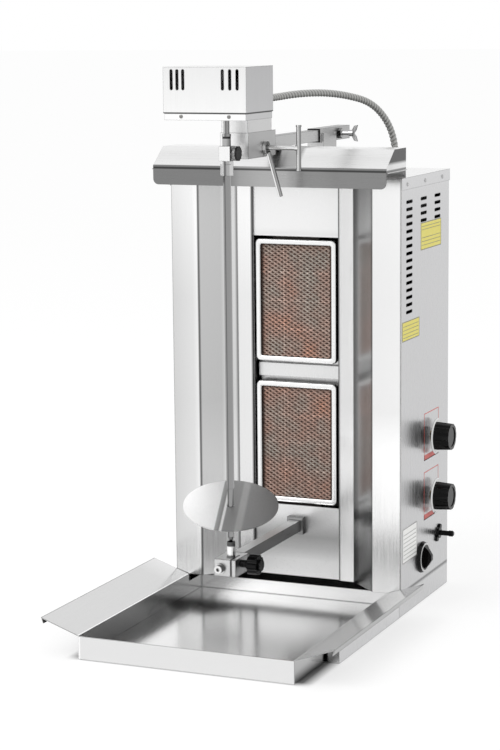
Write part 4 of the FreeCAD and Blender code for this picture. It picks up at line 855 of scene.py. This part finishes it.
# %% Hose finish
# the grooves lie in shadow, and the underside mirrors the dark of the room
hose_finish, tree, shader, place = new_material("galvanised_strip")
source = painted_light_by_facing(tree, dict(front="#a0a09e", right="#a8a8a6", left="#8a8a88", top="#c8c8c6",
                                 under="#4a4a48"))
deep = add_node(tree, "ShaderNodeAttribute", attribute_name="groove")
dark = add_node(tree, "ShaderNodeMapRange", _0=deep.outputs["Fac"], _1=0.15, _2=0.8, _3=1.05, _4=0.62)
shade = add_node(tree, "ShaderNodeVectorMath", operation="SCALE", _0=source, Scale=dark.outputs[0])
sheet_surface(tree, shader, place, shade.outputs[0], 0.32, all_ways, 0.1, line=0.0, bend=0.0005)
print("hose finish", hose_finish.name)

# %% Hose
# in metres: the hose's radius, the groove's depth and the distance from groove to groove; two grooves
# run side by side, as in a double thread
hose_radius, groove, winding, starts = 0.0056, 0.0011, 0.0068, 2
steps, around = 560, 28
mesh = bmesh.new()
centres = [on_line(hose_length * i / steps) for i in range(steps + 1)]
depths = []
previous = []
for i, centre in enumerate(centres):
    ahead = centres[min(i + 1, steps)] - centres[max(i - 1, 0)]
    ahead.normalize()
    side = (Vector((1, 0, 0)) - ahead * ahead.x).normalized()
    other = ahead.cross(side)
    ring = []
    for k in range(around):
        a = 2 * math.pi * k / around
        phase = 2 * math.pi * (hose_length * i / steps) / winding - starts * a
        depth = groove * (0.5 - 0.5 * math.cos(phase)) ** 2
        depths.append(depth / groove)
        outward = side * math.cos(a) + other * math.sin(a)
        ring.append(mesh.verts.new(centre + outward * (hose_radius - depth)))
    if previous:
        join_rings(mesh, previous, ring)
    previous = ring
hose = new_piece("ribbed_hose", mesh, hose_finish)
hose.data.attributes.new("groove", "FLOAT", "POINT").data.foreach_set("value", depths)
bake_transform(hose)
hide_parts("conduit")
print("hose points", len(hose.data.vertices))

# %% [markdown]
# ## Labels and marks on the control side
# Thin adhesive labels with a border and plain rules in place of text, and a red frame with a bar round
# each knob. The labels are 0.2 mm thick and lie on the panel; the red frames are 0.15 mm thick.

# %% Printed film


def film(name, tone, patch_tone, foil):
    # foil says how much of the look comes from the metal film under the print
    material, tree, shader, place = new_material(name)
    mottle = add_node(tree, "ShaderNodeTexNoise", Vector=place, Scale=120.0, Detail=3.0)
    mix = add_node(tree, "ShaderNodeMix", data_type="RGBA", _0=mottle.outputs["Fac"], _6=colour(tone),
                   _7=colour(patch_tone))
    set_inputs(tree, shader, {"Base Color": mix.outputs[2], "Metallic": foil, "Roughness": 0.45})
    return material


yellow_film = film("yellow_label_foil", "#f4e664", "#f6ee8c", 0.6)
white_film = film("silver_label_foil", "#f2f2f0", "#f8f8f7", 0.9)
red_film = film("red_print", "#ee5a55", "#f08880", 0.3)
grey_film = film("grey_print", "#7d7d7a", "#8e8e8b", 0.0)
print("finishes in all", len(bpy.data.materials))

# %% Labels


def plates(name, parts, finish, body):
    # parts are boxes in mm on the drawing: (y low, y high, z low, z high, x low, x high)
    mesh = bmesh.new()
    for y0, y1, z0, z1, x0, x1 in parts:
        corners = [mesh.verts.new(at(x, y, z)) for x in (x0, x1) for y in (y0, y1) for z in (z0, z1)]
        for f in ((0, 1, 3, 2), (4, 6, 7, 5), (0, 4, 5, 1), (2, 3, 7, 6), (0, 2, 6, 4), (1, 5, 7, 3)):
            mesh.faces.new([corners[i] for i in f])
    piece = new_piece(name, mesh, finish)
    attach(piece, body)
    return piece


def outline(spot, line_width, layer):
    y0, y1, z0, z1 = spot
    low, high = z0 + line_width, z1 - line_width
    sides = ((y0, y1, high, z1), (y0, y1, z0, low), (y0, y0 + line_width, low, high),
             (y1 - line_width, y1, low, high))
    return [(*side, *layer) for side in sides]


# the panel's outer face is at x 197 mm; each layer is (x low, x high), each spot (y low, y high, z low,
# z high)
film_layer, red_layer, rule_layer = (197.0, 197.2), (197.0, 197.15), (197.2, 197.3)
upper_spot, lower_spot, rating_spot = (95, 196, 578, 622), (6, 88, 442, 473), (9.5, 79, 84, 140)
plates("upper_yellow_label", [(*upper_spot, *film_layer)], yellow_film, "cabinet")
plates("lower_yellow_label", [(*lower_spot, *film_layer)], yellow_film, "cabinet")
plates("rating_label", [(*rating_spot, *film_layer)], white_film, "cabinet")
marks = []
for bottom, top in ((232, 310), (133, 213)):
    marks += outline((115, 188, bottom, top), 1.4, red_layer)
    marks.append((115, 188, bottom, bottom + 9, *red_layer))
plates("red_marks", marks, red_film, "cabinet")
edges = outline(upper_spot, 1.2, rule_layer) + outline(lower_spot, 1.2, rule_layer)
edges += outline(rating_spot, 1.0, rule_layer)
# the rules on the labels: y low, y high, the lowest rule's z, their number and their distance
rule_groups = ((99, 192, 585, 3, 6), (99, 192, 610, 2, 5), (10, 84, 447, 4, 6), (14, 75, 90, 7, 6.5))
for low, high, first, count, gap in rule_groups:
    edges += [(low, high, first + i * gap, first + i * gap + 0.8, *rule_layer) for i in range(count)]
plates("label_borders", edges, grey_film, "cabinet")
print("red bars", len(marks), "borders and rules", len(edges))

# %% Chrome ring of the switch


def ring_piece(name, middle, inner, outer, thick, finish, body, steps=64):
    # a flat ring in mm round a line to the right, with its front edges cut off
    x, y, z = middle
    cut, shoulder = thick * 0.4, thick * 0.6
    profile = [(inner, 0), (outer, 0), (outer, shoulder), (outer - cut, thick), (inner + cut, thick),
               (inner, shoulder)]
    mesh = bmesh.new()
    rings = []
    for i in range(steps):
        a = 2 * math.pi * i / steps
        rings.append([mesh.verts.new(at(x + h, y + r * math.cos(a), z + r * math.sin(a)))
                      for r, h in profile])
    for i in range(steps):
        join_rings(mesh, rings[i], rings[(i + 1) % steps])
    piece = new_piece(name, mesh, finish)
    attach(piece, body)
    return piece


ring_piece("switch_ring", (202.6, 106, 74), 20.5, 24.0, 0.8, skirt_steel, "cabinet")
print("ring made")

# %% [markdown]
# ## Dark sheets behind the vents
# Grills of this kind have thin dark sheets a little behind their vents, which keep the burners' heat off
# the outer walls; here their dark colour also stands in for the shade inside the cabinet and stops the
# view through it. Those at the sides stand just inside the side walls, between the front panels and the
# back panel. The one at the back has two flanges against the back panel.

# %% Shields
# right, left, back, and the two flanges of the back one, as boxes in mm
shields = [(2.5, 235, 478, 676, 183.2, 183.8), (2.5, 235, 478, 676, -183.8, -183.2),
           (229.8, 230.4, 500, 620, -170, 170),
           (230.4, 235.8, 500, 620, -170, -169.4), (230.4, 235.8, 500, 620, 169.4, 170)]
plates("heat_and_shade_sheets", shields, dark_steel, "cabinet")
print("sheets", len(shields))
